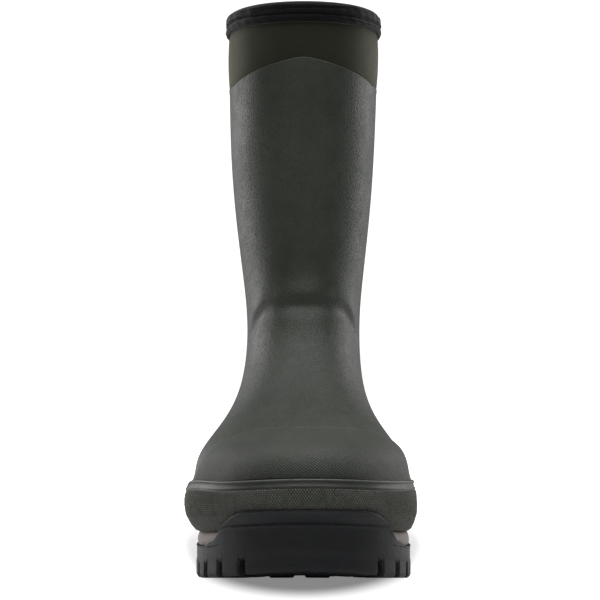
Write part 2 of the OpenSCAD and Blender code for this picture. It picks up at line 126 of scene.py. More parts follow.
class BootColours(bpy.types.PropertyGroup):
    """Base colours of the boot's materials."""
    boot_rubber: colour("Boot rubber", "Olive rubber of the upper", (.037, .043, .0315))
    cap_rubber: colour("Cap rubber", "Toe cap and heel patch", (.036, .041, .0305))
    rand_rubber: colour("Rand rubber", "Knurled band round the foot", (.030, .034, .0255))
    sole_rubber: colour("Sole rubber", "Outsole and toe bumper", (.0075, .0085, .0105))
    midsole: colour("Midsole", "Taupe midsole foam", (.40, .355, .335))
    collar: colour("Collar cloth", "Olive cloth of the collar", (.034, .034, .022))
    binding: colour("Binding", "Black stretch binding", (.0065, .0065, .0075))
    thread: colour("Thread", "Sewing thread", (.006, .006, .006))
    neoprene: colour("Neoprene", "Black foam of the bootie", (.012, .012, .013))
    fleece: colour("Fleece", "Grey pile inside the boot", (.060, .060, .057))
    footbed: colour("Footbed foam", "Foam under the footbed's fleece", (.03, .03, .032))


class Studio(bpy.types.PropertyGroup):
    """Camera and light."""
    lens: FloatProperty(name="Lens", description="Focal length", default=105.36, min=20,
                        unit="CAMERA")
    distance: length("Camera distance", "Camera to the leg axis", 1150)
    eye: length("Camera height", "Camera above the floor", 159)
    side_power: power("Side lights", "Power of each side softbox", 3.5)
    top_power: power("Top light", "Power of the overhead softbox", 22)
    front_power: power("Front light", "Power of the front softbox", 1.3)
    seed: IntProperty(name="Seed", description="Seed of every random draw", default=7, min=0)


# ---- the boot's form ----
def cosd(a):
    """Cosine of an angle in degrees."""
    return np.cos(np.radians(a))


def sind(a):
    """Sine of an angle in degrees."""
    return np.sin(np.radians(a))


def smooth(x):
    """Smoothstep of x from 0 to 1."""
    x = np.clip(x, 0, 1)
    return x * x * (3 - 2 * x)


def bump(x):
    """Bell curve: 1 at x = 0, about a third at x = 1."""
    return np.exp(-x * x)


def unit(a):
    """Vectors along the last axis, brought to length 1."""
    return a / np.linalg.norm(a, axis=-1, keepdims=True)


def blends(s, n):
    """Where s lies along n values: the first of four padded values, and the cubic B-spline
    shares of the four."""
    k = np.clip(np.floor(s).astype(int), 0, n - 2)
    f = s - k
    g = 1 - f
    shares = np.stack([g**3, 3 * f**3 - 6 * f**2 + 4, 3 * g**3 - 6 * g**2 + 4, f**3], -1) / 6
    return k, shares


def padded_ends(table):
    """The table with one more value at each end of its first axis, straight on from the last
    two."""
    return np.concatenate([[2 * table[0] - table[1]], table, [2 * table[-1] - table[-2]]])


class Form:
    """The boot's outer surface and the lines that hang on it, in millimetres until at().

    u goes round the boot in degrees: 0 at the heel, 90 on the inner side, 180 at the toe. v goes
    up it in rows: 0 at the sole, 12 at the top. Each row is an oval between a back and a front
    point, with a half width at six stations. A cubic B-spline runs through rows and stations.
    """

    ankle_f, ankle_b = 112, 88     # height of the ankle over the sole's top, front and back
    reach_rows = 10.5              # thickness in mm that one row stands for near the sole
    sole_row = 12                  # mm that one row below the sole line stands for
    lip_v = 2.0                    # row of the rand's lip
    cap_foot = 2.03                # row where the toe cap and the heel patch start
    bumper_half = 40               # half the bumper's width, in degrees
    patch_gap = 0.5
    fold_v, fold_half = 8.02, 78   # row of the instep fold's crest, and half its width in degrees
    board_t = 2.0                  # insole board with its foil
    toe_lug_in, toe_lug_out = 46, 38   # length of the toe lug along each side

    def __init__(self, sizes):
        mm = {p.identifier: getattr(sizes, p.identifier) / MM
              for p in sizes.bl_rna.properties if p.type == "FLOAT"}
        self.mm = s = SimpleNamespace(**mm)
        self.base_f = s.outsole_t + s.midsole_toe_t
        self.base_b = s.outsole_t + s.midsole_heel_t
        self.ball_y = -.53 * s.toe_reach
        self.rows = padded_ends(self.row_table())
        self.top_v = len(self.rows) - 3
        self.low_h = s.boot_h - s.binding_h - s.collar_h
        self.reach = s.rubber_t + s.glue_gap
        self.core = self.reach + s.neoprene_t + s.glue_gap
        self.inside = self.core + s.lining_t
        sides = np.arange(45, 316, 5)
        side = self.raw_at(sides, 1.2, self.rand_out(sides, 1.2))
        front = self.raw_bumper(180, .7, s.bumper_t)
        back = self.raw_at(0, 1.2, self.rand_out(0, 1.2))
        self.origin = np.array([(side[:, 0].min() + side[:, 0].max()) / 2,
                                (front[1] + back[1]) / 2, 0])
        self.binding_v = self.row_at(90, s.boot_h - s.binding_h)
        self.rubber_v = self.row_at(90, self.low_h)
        self.stack_v = self.row_at(90, s.boot_h - s.binding_t - .5)
        self.peak_v = self.row_at(180, self.low_h + s.peak_h) - self.row_at(180, self.low_h)

    def row_table(self):
        """Rows as front y and z, back y and z, six half widths, and three places of the middle."""
        s = self.mm
        f, b, d = -s.toe_reach, s.heel_reach, s.top_d / 2
        ball, ankle, top = s.ball_w / 2, s.ankle_w / 2, s.top_w / 2
        rf, rb = s.rand_toe_h, s.rand_heel_h
        bf, bb = self.base_f, self.base_b
        af, ab = bf + 26 + self.ankle_f, bb + 26 + self.ankle_b

        def leg(low, share):
            return low + share * (s.boot_h - low)

        def row(yf, zf, yb, zb, half, gauge, axis):
            return [yf, zf, yb, zb, *(half * g for g in gauge), *axis]

        return np.array([
            row(.975 * f, bf, .97 * b, bb, ball, [1.14, .78, .72, .98, 1.14, 1.26], [0, -2, 2]),
            row(f, bf + .42 * rf, b, bb + .55 * rb, ball, [1.22, .80, .73, .98, 1.16, 1.28],
                [0, -6.5, 2]),
            row(.995 * f, bf + rf, b, bb + rb, ball, [1.22, .80, .73, .98, 1.17, 1.26],
                [0, -6.5, 2]),
            row(.972 * f, bf + rf + 17, .975 * b, bb + rb + 10, ball,
                [1.18, .79, .72, .99, 1.18, 1.22], [0, -5, 1]),
            row(.855 * f, bf + rf + 29.5, .94 * b, bb + rb + 22, ball,
                [1.14, .77, .70, .865, .98, 1.01], [0, -5, 1]),
            row(.68 * f, bf + 69, .9 * b, bb + 53, ball, [1.08, .75, .66, .735, .81, .86],
                [0, -3, 0]),
            row(.49 * f, bf + 86, .85 * b, bb + 68, ball, [1, .70, .61, .63, .66, .72],
                [0, -1, 0]),
            row(.34 * f, bf + 112, .79 * b, bb + 88, ball, [.90, .64, .58, .59, .61, .68],
                [0, .5, .5]),
            row(.275 * f, af, .73 * b, ab, ankle, [1.33, 1.02, .97, 1, 1.04, 1.14],
                [.5, .5, .5]),
            row(.262 * f, leg(af, .16), .72 * b, leg(ab, .18), ankle,
                [1.34, 1.12, 1.07, 1.11, 1.15, 1.17], [.3, .3, .3]),
            row(-.91 * d, leg(af, .395), .89 * d, leg(ab, .42), top,
                [1.07, .97, .93, .945, .97, .99], [0, 0, 0]),
            row(-.97 * d, leg(af, .67), .96 * d, leg(ab, .69), top,
                [1.11, 1.02, .985, .99, 1.02, 1.07], [0, 0, 0]),
            row(-d, s.boot_h, d, s.boot_h, top, [1.15, 1.03, 1, 1, 1.04, 1.11], [.6, .6, .6]),
        ])

    def lift(self, y):
        """Rise of the sole at y: level to just behind the ball, then a parabola to the toe."""
        start = -.45 * self.mm.toe_reach
        share = np.maximum(0, start - y) / (start + self.mm.toe_reach)
        return self.mm.toe_spring * share ** 2

    def skin(self, u, v):
        """Outer surface: rows splined at v, half width splined round the oval at u."""
        u, v = np.broadcast_arrays(np.asarray(u, float), np.asarray(v, float))
        k, shares = blends(v, len(self.rows) - 2)
        r = sum(shares[..., i, None] * self.rows[k + i] for i in range(4))
        t = (1 - cosd(u)) / 2
        g = r[..., 4:10]
        g = np.concatenate([2 * g[..., :1] - g[..., 1:2], g, 2 * g[..., 5:] - g[..., 4:5]], -1)
        k, shares = blends(5 * t, 6)
        half = sum(shares[..., i] * np.take_along_axis(g, (k + i)[..., None], -1)[..., 0]
                   for i in range(4))
        mid = r[..., 10] * (1 - t) ** 2 + 2 * r[..., 11] * t * (1 - t) + r[..., 12] * t * t
        y = r[..., 2] + (r[..., 0] - r[..., 2]) * t
        z = r[..., 3] + (r[..., 1] - r[..., 3]) * t + self.lift(y) * np.maximum(0, 1 - v / 5)
        return np.stack([mid + sind(u) * half, y, z], -1)

    def normal(self, u, v):
        """Unit normal of the outer surface, from its slopes both ways."""
        return unit(np.cross(self.skin(u, v + .004) - self.skin(u, v - .004),
                             self.skin(u + .1, v) - self.skin(u - .1, v)))

    def flat_normal(self, u, v=0):
        """The same, kept level."""
        d = self.skin(u + .1, v) - self.skin(u - .1, v)
        return unit(np.stack([-d[..., 1], d[..., 0], 0 * d[..., 0]], -1))

    def raw_at(self, u, v, o):
        u, v, o = np.broadcast_arrays(*(np.asarray(a, float) for a in (u, v, o)))
        return self.skin(u, v) + o[..., None] * self.normal(u, v)

    def raw_bumper(self, u, v, o):
        """Off the rand's face by o. Below the sole line it goes straight down."""
        u, v, o = np.broadcast_arrays(*(np.asarray(a, float) for a in (u, v, o)))
        gap = self.mm.glue_gap
        high = np.maximum(v, 0)
        level = 1 - smooth(high / .5)[..., None]
        lean = unit(level * self.flat_normal(u, 0 * u) + (1 - level) * self.normal(u, high))
        up = self.skin(u, high) + (self.rand_face(u, high) + gap + o)[..., None] * lean
        low = self.skin(u, 0 * u) + (self.rand_face(u, 0 * u) + gap + o)[..., None] * \
            self.flat_normal(u, 0 * u)
        low[..., 2] += self.sole_row * v
        return np.where((v > 0)[..., None], up, low)

    def at(self, u, v, o=0.0):
        """Point o mm off the skin at (u, v), in metres in the frame."""
        return (self.raw_at(u, v, o) - self.origin) * MM

    def bumper_at(self, u, v, o):
        """Point o mm off the rand's face at (u, v), in metres in the frame."""
        return (self.raw_bumper(u, v, o) - self.origin) * MM

    def sole_at(self, u, z, o):
        """Point at height z of the level sole, o mm outside the edge line, in the frame."""
        u, z, o = np.broadcast_arrays(*(np.asarray(a, float) for a in (u, z, o)))
        p = self.skin(u, 0 * u) + o[..., None] * self.flat_normal(u, 0 * u)
        p[..., 2] = z + self.lift(p[..., 1])
        return (p - self.origin) * MM

    def row_at(self, u, z):
        """Row whose height is z at station u, by halving."""
        lo, hi = 0.0, float(self.top_v)
        for _ in range(24):
            mid = (lo + hi) / 2
            lo, hi = (mid, hi) if self.skin(u, mid)[2] < z else (lo, mid)
        return (lo + hi) / 2

    def rise(self, thick):
        """Rows that a thickness in mm takes up near the sole."""
        return thick / self.reach_rows

    def mm_per_row(self, u, v):
        """How many mm one row stands for at (u, v)."""
        return np.linalg.norm(self.skin(u, v + .05) - self.skin(u, v - .05), axis=-1) / .1

    def rand_out(self, u, v):
        """How far the rand stands out: thinner round the heel, fullest at v = 1.2."""
        share = np.interp(v, [0, .35, .8, 1.2, 1.6, 2], [.30, .66, .95, 1, .95, .78])
        return self.mm.rand_t * np.minimum(1, .7 + .3 * (1 - cosd(u))) * share

    def rand_face(self, u, v):
        """The same, let in behind the bumper at the toe."""
        turn = np.minimum(90, np.abs(u - 180) * 90 / (self.bumper_half + 8))
        cover = np.sqrt(np.maximum(0, cosd(turn)))
        keep = np.where(v < 1, 1, np.maximum(0, 1 - 5 * (v - 1)))
        return self.rand_out(u, v) - .45 * self.mm.bumper_t * cover * keep

    def bumper_top(self, u):
        """Row of the bumper's top edge: level in front, falling off at both sides."""
        a = np.abs(u - 180) / self.bumper_half
        return np.where(a < .5, .95, .95 - 1.35 * ((a - .5) / .5) ** 2)

    def rubber_top(self, u):
        """Row of the rubber's top edge: level round the back, a rounded peak in front."""
        return self.rubber_v + self.peak_v * np.maximum(
            0, 1.09 - np.sqrt(((u - 180) / 58) ** 2 + .008))

    def fold(self, u, v):
        """Roll of rubber over the instep: steep under its crest, with three hollows below it."""
        d = np.abs(u - 180)
        crest = self.fold_v - .55 * (d / 60) ** 4
        fade = np.where(d < self.fold_half, np.maximum(0, cosd(90 * d / self.fold_half)) ** .7, 0)
        w = (v - crest) * 26
        roll = np.where(w > 0, bump(w / 9.5), bump(w / 4.2))
        deep = .06 + 1.0 * bump((u - 180) / 17) + 1.05 * bump((d - 48) / 16)
        hollow = deep * bump((w + 6.6) / 4.4)
        below = .8 * bump((u - 180) / 26) + .9 * bump((d - 50) / 18)
        lobes = .24 + .76 * np.maximum(bump((u - 180) / 21), bump((d - 50) / 18))
        return fade * (.74 * self.mm.fold_h * roll * lobes - 1.5 * hollow
                       + .75 * below * bump((w + 15.5) / 6))

    def flare(self, u, v):
        """Fillet of rubber that runs out to the rand's lip at both sides of the toe."""
        side = bump((u - 113) / 24) + bump((u - 243) / 22)
        return 3.0 * side * np.exp(-np.maximum(0, v - 2.02) / .24) * smooth((v - 1.85) / .17)

    def wander(self, u, v):
        """Slow unevenness of a hand-laid upper, in mm: three crossing waves."""
        return .32 * (sind(3 * u + 40 * v) + .7 * sind(5 * u - 63 * v + 70)
                      + .6 * sind(2 * u + 97 * v + 20)) / 2.3


# ---- meshes from grids ----
def run_of(points):
    """Running length down the first axis of a grid of points, from 0."""
    steps = np.linalg.norm(np.diff(points, axis=0), axis=-1)
    return np.concatenate([np.zeros((1,) + steps.shape[1:]), np.cumsum(steps, 0)])


def closed(grid):
    """The grid with its first station once more at the end."""
    return np.concatenate([grid, grid[:, :1]], 1)


def girth_of(grid):
    """Running length round the boot of each row of a grid, station by station."""
    return run_of(np.moveaxis(closed(grid), 1, 0))


def across(ring, first):
    """Faces over a ring of point numbers, strip by strip from side to side."""
    n = len(ring)
    i = np.arange(1, n // 2 - 1)
    quads = np.stack([ring[i], ring[i + 1], ring[n - i - 1], ring[n - i]], -1)
    ends = np.array([[ring[0], ring[1], ring[n - 1]],
                     [ring[n // 2 - 1], ring[n // 2], ring[n // 2 + 1]]])
    if not first:
        quads, ends = quads[:, ::-1], ends[:, ::-1]
    return [quads, ends]


def grid_faces(m, n, loop_rows, wrap):
    """Quads of an m by n grid and, for the UV map, their places on the grid one row and one
    column longer. Rows go up and columns go round, so each quad turns to face outwards."""
    j, i = np.meshgrid(np.arange(m if loop_rows else m - 1), np.arange(n if wrap else n - 1),
                       indexing="ij")
    j, i = j.ravel(), i.ravel()
    rows = np.stack([j, j + 1, j + 1, j], -1)
    cols = np.stack([i, i, i + 1, i + 1], -1)
    return (rows % m) * n + cols % n, rows, cols


def form_faces(m, n):
    """Faces of a closed form on an m by n grid: its quads and both ends, from side to side."""
    numbers = np.arange(m * n).reshape(m, n)
    return [grid_faces(m, n, False, True)[0]] + across(numbers[0], True) + \
        across(numbers[-1], False)


def repeated(one, count, points_each):
    """The faces of one form, count times over."""
    return [np.concatenate([f + k * points_each for k in range(count)]) for f in one]


def point_value(piece, name, values):
    """Keeps a number for each point of the piece, for its material to read."""
    attribute = piece.data.attributes.new(name, "FLOAT", "POINT")
    attribute.data.foreach_set("value", np.asarray(values, np.float32).ravel())


def mesh_piece(name, points, faces, uv, material, flat=None):
    """A mesh object from points, a list of face arrays, UVs to match, and its material. Faces
    where flat is true are shaded flat."""
    mesh = bpy.data.meshes.new(name)
    points = np.asarray(points, np.float32).reshape(-1, 3)
    mesh.vertices.add(len(points))
    mesh.vertices.foreach_set("co", points.ravel())
    corners = np.concatenate([f.ravel() for f in faces]).astype(np.int32)
    sizes = np.concatenate([np.full(len(f), f.shape[1]) for f in faces])
    mesh.loops.add(len(corners))
    mesh.loops.foreach_set("vertex_index", corners)
    mesh.polygons.add(len(sizes))
    starts = np.concatenate([[0], np.cumsum(sizes)[:-1]]).astype(np.int32)
    mesh.polygons.foreach_set("loop_start", starts)
    smooth_faces = np.ones(len(sizes), bool) if flat is None else ~flat
    mesh.polygons.foreach_set("use_smooth", smooth_faces)
    layer = mesh.uv_layers.new(name="UVMap")
    layer.data.foreach_set("uv", np.concatenate([c.reshape(-1, 2) for c in uv])
                           .astype(np.float32).ravel())
    mesh.update(calc_edges=True)
    mesh.validate()
    mesh.materials.append(material)
    piece = bpy.data.objects.new(name, mesh)
    bpy.context.scene.collection.objects.link(piece)
    return piece


def grid_piece(name, grid, material, form="sleeve", flat_rows=None, edge=None):
    """A closed piece from a grid of points, rows by stations.

    form is "sleeve" where the rows close on the first one and the stations go all the way round,
    "cup" where the first and last rows are covered from side to side, and "patch" where the
    stations don't meet and both end sections are covered. UVs are lengths in metres: round the
    boot and along the section. edge is a value per point, 1 on an outer edge (on the rand, also
    on the knurl tips): the mask where the materials paint highlights and shade.
    """
    m, n = grid.shape[:2]
    loop_rows, wrap = form != "cup", form != "patch"
    quads, rows, cols = grid_faces(m, n, loop_rows, wrap)
    longer = np.concatenate([grid, grid[:1]]) if loop_rows else grid
    down = run_of(longer)
    round_it = (girth_of(grid) if wrap else run_of(np.moveaxis(grid, 1, 0))).mean(1)
    down = closed(down) if wrap else down
    uv = [np.stack([round_it[cols], down[rows, cols]], -1)]
    faces = [quads]
    flat = np.zeros(len(quads), bool)
    if flat_rows is not None:
        flat = (rows[:, 0] >= flat_rows[0]) & (rows[:, 0] < flat_rows[1])
    points = grid.reshape(-1, 3)
    numbers = np.arange(m * n).reshape(m, n)
    caps = []
    if form == "cup":
        caps = across(numbers[0], True) + across(numbers[-1], False)
    if form == "patch":
        caps = across(numbers[:, 0], True) + across(numbers[:, -1], False)
    for cap in caps:
        faces.append(cap)
        uv.append(points[cap][..., :2])
        flat = np.concatenate([flat, np.zeros(len(cap), bool)])
    piece = mesh_piece(name, points, faces, uv, material, flat)
    if edge is not None:
        point_value(piece, "edge", edge)
    return piece


def rim(thick, radius, steps=4):
    """Section over an edge from the outer to the inner face, both corners rounded: how far each
    point lies above the edge, and its depth, in mm."""
    a = np.linspace(0, 90, steps + 1)
    rise = radius * (sind(a) - 1)
    depth = radius * (cosd(a) - 1)
    return np.concatenate([rise, rise[::-1]]), np.concatenate([depth, (-thick - depth)[::-1]])


def stations(n):
    """n stations round the boot, one column each."""
    return np.arange(n) * 360 / n


def even_stations(boot, n, v, o):
    """n stations with even arc length between them along row v, o mm off the skin."""
    u = np.linspace(0, 360, 2401)
    run = run_of(boot.raw_at(u, v, o(u)))
    return np.interp(np.arange(n) * run[-1] / n, run, u)


# ---- finishes ----
def node_group(name, inputs, outputs, body):
    """A shader node group with these named sockets, built once. body(tree, source, sink) fills
    it."""
    tree = bpy.data.node_groups.get(name)
    if tree:
        return tree
    tree = bpy.data.node_groups.new(name, "ShaderNodeTree")
    kinds = {"vector": "NodeSocketVector", "float": "NodeSocketFloat", "colour": "NodeSocketColor"}
    for label, kind, default in inputs:
        socket = tree.interface.new_socket(label, in_out="INPUT", socket_type=kinds[kind])
        if default is not None:
            socket.default_value = default
    for label, kind in outputs:
        tree.interface.new_socket(label, in_out="OUTPUT", socket_type=kinds[kind])
    source = tree.nodes.new("NodeGroupInput")
    sink = tree.nodes.new("NodeGroupOutput")
    body(tree, source.outputs, sink.inputs)
    return tree


def put(tree, value, socket):
    """Links another node's output to the socket, or sets the value on it."""
    if isinstance(value, bpy.types.NodeSocket):
        tree.links.new(value, socket)
    else:
        socket.default_value = value


def add(tree, kind, settings=None, **sockets):
    """A node in the tree: settings are its own fields, sockets its inputs by name or number, each
    a value or another node's output."""
    node = tree.nodes.new("ShaderNode" + kind)
    for key, value in (settings or {}).items():
        setattr(node, key, value)
    for key, value in sockets.items():
        put(tree, value, node.inputs[int(key[1:]) if key[0] == "_" else key.replace("_", " ")])
    return node


def sums(tree, operation, a, b=0.0, c=0.0):
    """Output of a Math node."""
    node = add(tree, "Math", {"operation": operation}, _0=a, _1=b, _2=c)
    return node.outputs[0]


def ripple(tree, value, rate):
    """Size of the sine of value times rate: a row of rounded ridges."""
    return sums(tree, "ABSOLUTE", sums(tree, "SINE", sums(tree, "MULTIPLY", value, rate)))


def ramp(tree, value, low, high, to_low=0.0, to_high=1.0, easing="SMOOTHSTEP"):
    """Output of a Map Range node, held between its ends."""
    node = add(tree, "MapRange", {"interpolation_type": easing}, _0=value, _1=low, _2=high,
               _3=to_low, _4=to_high)
    return node.outputs[0]


def mix(tree, share, a, b):
    """Mix of two colours."""
    node = add(tree, "Mix", {"data_type": "RGBA"})
    for number, value in ((0, share), (6, a), (7, b)):
        put(tree, value, node.inputs[number])
    return node.outputs[2]


def noise(tree, vector, scale, detail=3.0, roughness=.5):
    """Height of a Noise Texture."""
    node = add(tree, "TexNoise", None, Vector=vector, Scale=scale, Detail=detail,
               Roughness=roughness)
    return node.outputs[0]


def grain_group():
    """Pebble grain of moulded rubber: rounded cells, broken up by a finer noise."""
    def body(tree, source, sink):
        warp = add(tree, "TexNoise", None, Vector=source["Vector"], Scale=260.0, Detail=1.0)
        moved = add(tree, "VectorMath", {"operation": "MULTIPLY_ADD"}, _0=warp.outputs[1],
                    _1=(.0012, .0012, .0012), _2=source["Vector"])
        cells = add(tree, "TexVoronoi", {"feature": "SMOOTH_F1"}, Vector=moved.outputs[0],
                    Scale=source["Scale"], Smoothness=.35)
        dome = ramp(tree, cells.outputs[0], .05, .75, 1.0, 0.0)
        fine = noise(tree, source["Vector"], 2600.0, 2.0)
        tree.links.new(sums(tree, "MULTIPLY_ADD", fine, .3, dome), sink["Height"])
        pit = ramp(tree, cells.outputs[0], .45, .8)
        tree.links.new(pit, sink["Pits"])
        tree.links.new(cells.outputs[1], sink["Cell"])
    return node_group("pebble_grain", [("Vector", "vector", None), ("Scale", "float", 900.0)],
                      [("Height", "float"), ("Pits", "float"), ("Cell", "colour")], body)


def mottle_group():
    """Slow drift of a colour: a darker and a lighter version mixed by two sizes of cloud."""
    def body(tree, source, sink):
        slow = noise(tree, source["Vector"], source["Scale"], 4.0, .55)
        quick = noise(tree, source["Vector"], sums(tree, "MULTIPLY", source["Scale"], 9.0), 2.0)
        both = sums(tree, "MULTIPLY_ADD", quick, .35, sums(tree, "MULTIPLY", slow, .65))
        share = ramp(tree, both, .32, .68)
        tree.links.new(mix(tree, share, source["Dark"], source["Light"]), sink["Colour"])
        tree.links.new(share, sink["Cloud"])
    return node_group("mottle", [("Vector", "vector", None), ("Scale", "float", 12.0),
                                 ("Dark", "colour", None), ("Light", "colour", None)],
                      [("Colour", "colour"), ("Cloud", "float")], body)


def diamond_group():
    """Moulded diamonds: two sets of slanting ridges, raised where they cross."""
    def body(tree, source, sink):
        axes = add(tree, "SeparateXYZ", None, Vector=source["Vector"])
        turn = sums(tree, "DIVIDE", 3.14159, source["Pitch"])
        a = sums(tree, "ADD", axes.outputs[0], axes.outputs[1])
        b = sums(tree, "SUBTRACT", axes.outputs[0], axes.outputs[1])
        tip = sums(tree, "MULTIPLY", ripple(tree, a, turn), ripple(tree, b, turn))
        tree.links.new(sums(tree, "MULTIPLY", tip, source["Fade"]), sink["Height"])
        groove = sums(tree, "MULTIPLY", ramp(tree, tip, .0, .5, 1.0, 0.0), source["Fade"])
        tree.links.new(groove, sink["Grooves"])
    return node_group("moulded_diamonds", [("Vector", "vector", None), ("Pitch", "float", .0017),
                                           ("Fade", "float", 1.0)],
                      [("Height", "float"), ("Grooves", "float")], body)


def knit_group():
    """Fine jersey: columns of small loops, each row half a loop on, with a little slub."""
    def body(tree, source, sink):
        axes = add(tree, "SeparateXYZ", None, Vector=source["Vector"])
        across_it = sums(tree, "MULTIPLY", axes.outputs[0], source["Wales"])
        up = sums(tree, "MULTIPLY", axes.outputs[1], source["Wales"])
        slub = noise(tree, source["Vector"], 420.0, 2.0)
        lean = sums(tree, "MULTIPLY_ADD", sums(tree, "SINE", sums(tree, "MULTIPLY", up, 6.2832)),
                    .22, across_it)
        wale = sums(tree, "POWER", ripple(tree, lean, 3.14159), .6)
        course = sums(tree, "MULTIPLY_ADD", ripple(tree, up, 6.2832), .5, .5)
        loop = sums(tree, "MULTIPLY", wale, course)
        tree.links.new(sums(tree, "MULTIPLY_ADD", slub, .35, loop), sink["Height"])
        tree.links.new(ramp(tree, loop, .1, .8), sink["Yarn"])
    return node_group("jersey_knit", [("Vector", "vector", None), ("Wales", "float", 1500.0)],
                      [("Height", "float"), ("Yarn", "float")], body)


def pile_group():
    """Fleece pile: tufts of two sizes, and a mask of their tips for painted light."""
    def body(tree, source, sink):
        tuft = add(tree, "TexVoronoi", {"feature": "F1"}, Vector=source["Vector"],
                   Scale=source["Tufts"])
        hair = noise(tree, source["Vector"], sums(tree, "MULTIPLY", source["Tufts"], 5.0), 3.0, .7)
        dome = ramp(tree, tuft.outputs[0], .1, .8, 1.0, 0.0)
        tree.links.new(sums(tree, "MULTIPLY_ADD", hair, .7, dome), sink["Height"])
        tree.links.new(ramp(tree, sums(tree, "MULTIPLY_ADD", hair, .6, dome), .5, 1.4),
                       sink["Tips"])
    return node_group("fleece_pile", [("Vector", "vector", None), ("Tufts", "float", 420.0)],
                      [("Height", "float"), ("Tips", "float")], body)


def edge_shading_group():
    """Painted shading along an edge: the edge value, eaten into by a noise. Rubber uses it for a
    painted highlight, foam for a painted shade.
    """
    def body(tree, source, sink):
        patchy = noise(tree, source["Vector"], source["Breakup"], 4.0, .6)
        share = sums(tree, "MULTIPLY", source["Edge"], ramp(tree, patchy, .25, .6, .35, 1.0))
        tree.links.new(sums(tree, "MULTIPLY", share, source["Amount"]), sink["Wear"])
    return node_group("edge_wear", [("Vector", "vector", None), ("Edge", "float", 0.0),
                                    ("Breakup", "float", 300.0), ("Amount", "float", .5)],
                      [("Wear", "float")], body)


def place_group(tree, group, **sockets):
    """Places a node group and gives its outputs."""
    return add(tree, "Group", {"node_tree": group}, **sockets).outputs


def four(rgb, gain=1.0):
    """The colour with its alpha, made lighter or darker by gain."""
    return tuple(min(1, c * gain) for c in rgb) + (1,)


def start_material(name, rgb, roughness, **shader):
    """A material with a Principled shader: its tree, the shader, and Object coordinates. Values
    that are the same all over stand on the shader's own sockets."""
    material = bpy.data.materials.new(name)
    material.use_nodes = True
    material.diffuse_color = four(rgb)
    tree = material.node_tree
    surface = tree.nodes["Principled BSDF"]
    surface.inputs["Base Color"].default_value = four(rgb)
    surface.inputs["Roughness"].default_value = roughness
    for key, value in shader.items():
        surface.inputs[key.replace("_", " ")].default_value = value
    place = add(tree, "TexCoord").outputs["Object"]
    return material, tree, surface, place


def raise_by(tree, surface, height, strength, distance):
    """Feeds a height into the shader's normal."""
    relief = add(tree, "Bump", None, Strength=strength, Distance=distance, Height=height)
    tree.links.new(relief.outputs[0], surface.inputs["Normal"])


def mottled(tree, place, rgb, scale, dark, light):
    """The mottle group with the colour's darker and lighter version."""
    return place_group(tree, mottle_group(), Vector=place, Scale=scale, Dark=four(rgb, dark),
                       Light=four(rgb, light))


def painted_edges(tree, place, amount):
    """The painted edge shading group, fed by the mesh's edge value."""
    edge = add(tree, "Attribute", {"attribute_name": "edge"}).outputs["Fac"]
    return place_group(tree, edge_shading_group(), Vector=place, Edge=edge, Amount=amount)


def rubber(name, rgb, highlight_rgb, grain=900.0, relief=.5, depth=.00025, roughness=.5, drift=.22,
           gloss=.5, diamonds=0.0, wear=.35):
    """Moulded rubber: mottled colour, pebble grain or diamonds, pits rougher and darkened by
    painted shade, the diamonds' grooves darkened by painted shade, edges smoother and lightened
    by a painted highlight."""
    material, tree, surface, place = start_material(
        name, rgb, roughness, Specular_IOR_Level=gloss, Coat_Roughness=.35, IOR=1.52)
    tone = mottled(tree, place, rgb, 14.0, 1 - drift, 1 + drift)
    pebble = place_group(tree, grain_group(), Vector=place, Scale=grain)
    # Painted shade: the grain's pits mix darker.
    colour_now = mix(tree, sums(tree, "MULTIPLY", pebble["Pits"], .35), tone["Colour"],
                     four(rgb, .55))
    height = pebble["Height"]
    edge_paint = painted_edges(tree, place, wear)
    if diamonds:
        fade = add(tree, "Attribute", {"attribute_name": "fade"}).outputs["Fac"]
        flat_map = add(tree, "UVMap").outputs[0]
        cut = place_group(tree, diamond_group(), Vector=flat_map, Pitch=diamonds, Fade=fade)
        height = sums(tree, "MULTIPLY_ADD", cut["Height"], 2.6, sums(tree, "MULTIPLY", height, .3))
        # Painted shade: the diamonds' grooves mix darker.
        colour_now = mix(tree, sums(tree, "MULTIPLY", cut["Grooves"], .5), colour_now,
                         four(rgb, .5))
    # Painted highlight: the marked edges, and on the rand the knurl tips, mix towards the lighter
    # highlight colour.
    put(tree, mix(tree, edge_paint["Wear"], colour_now, four(highlight_rgb)), surface.inputs["Base Color"])
    rough = ramp(tree, tone["Cloud"], 0, 1, roughness - .05, roughness + .07)
    rough = sums(tree, "MULTIPLY_ADD", edge_paint["Wear"], -.12, rough)
    tree.links.new(sums(tree, "MULTIPLY_ADD", pebble["Pits"], .12, rough),
                   surface.inputs["Roughness"])
    raise_by(tree, surface, height, relief, depth)
    return material


def cloth(name, rgb, wales, relief, sheen, drift=.15, tint=(1, 1, 1)):
    """Jersey: knit relief on the piece's own UV map, painted shade between loops, a soft sheen."""
    material, tree, surface, place = start_material(
        name, rgb, .85, Sheen_Weight=sheen, Sheen_Roughness=.4, Specular_IOR_Level=.2,
        Sheen_Tint=four(tint))
    flat_map = add(tree, "UVMap").outputs[0]
    knit = place_group(tree, knit_group(), Vector=flat_map, Wales=wales)
    tone = mottled(tree, place, rgb, 30.0, 1 - drift, 1 + drift)
    # Painted shade: the gaps between loops mix darker.
    put(tree, mix(tree, knit["Yarn"], four(rgb, .55), tone["Colour"]),
        surface.inputs["Base Color"])
    put(tree, ramp(tree, tone["Cloud"], 0, 1, .80, .93), surface.inputs["Roughness"])
    raise_by(tree, surface, knit["Height"], relief, .0002)
    return material


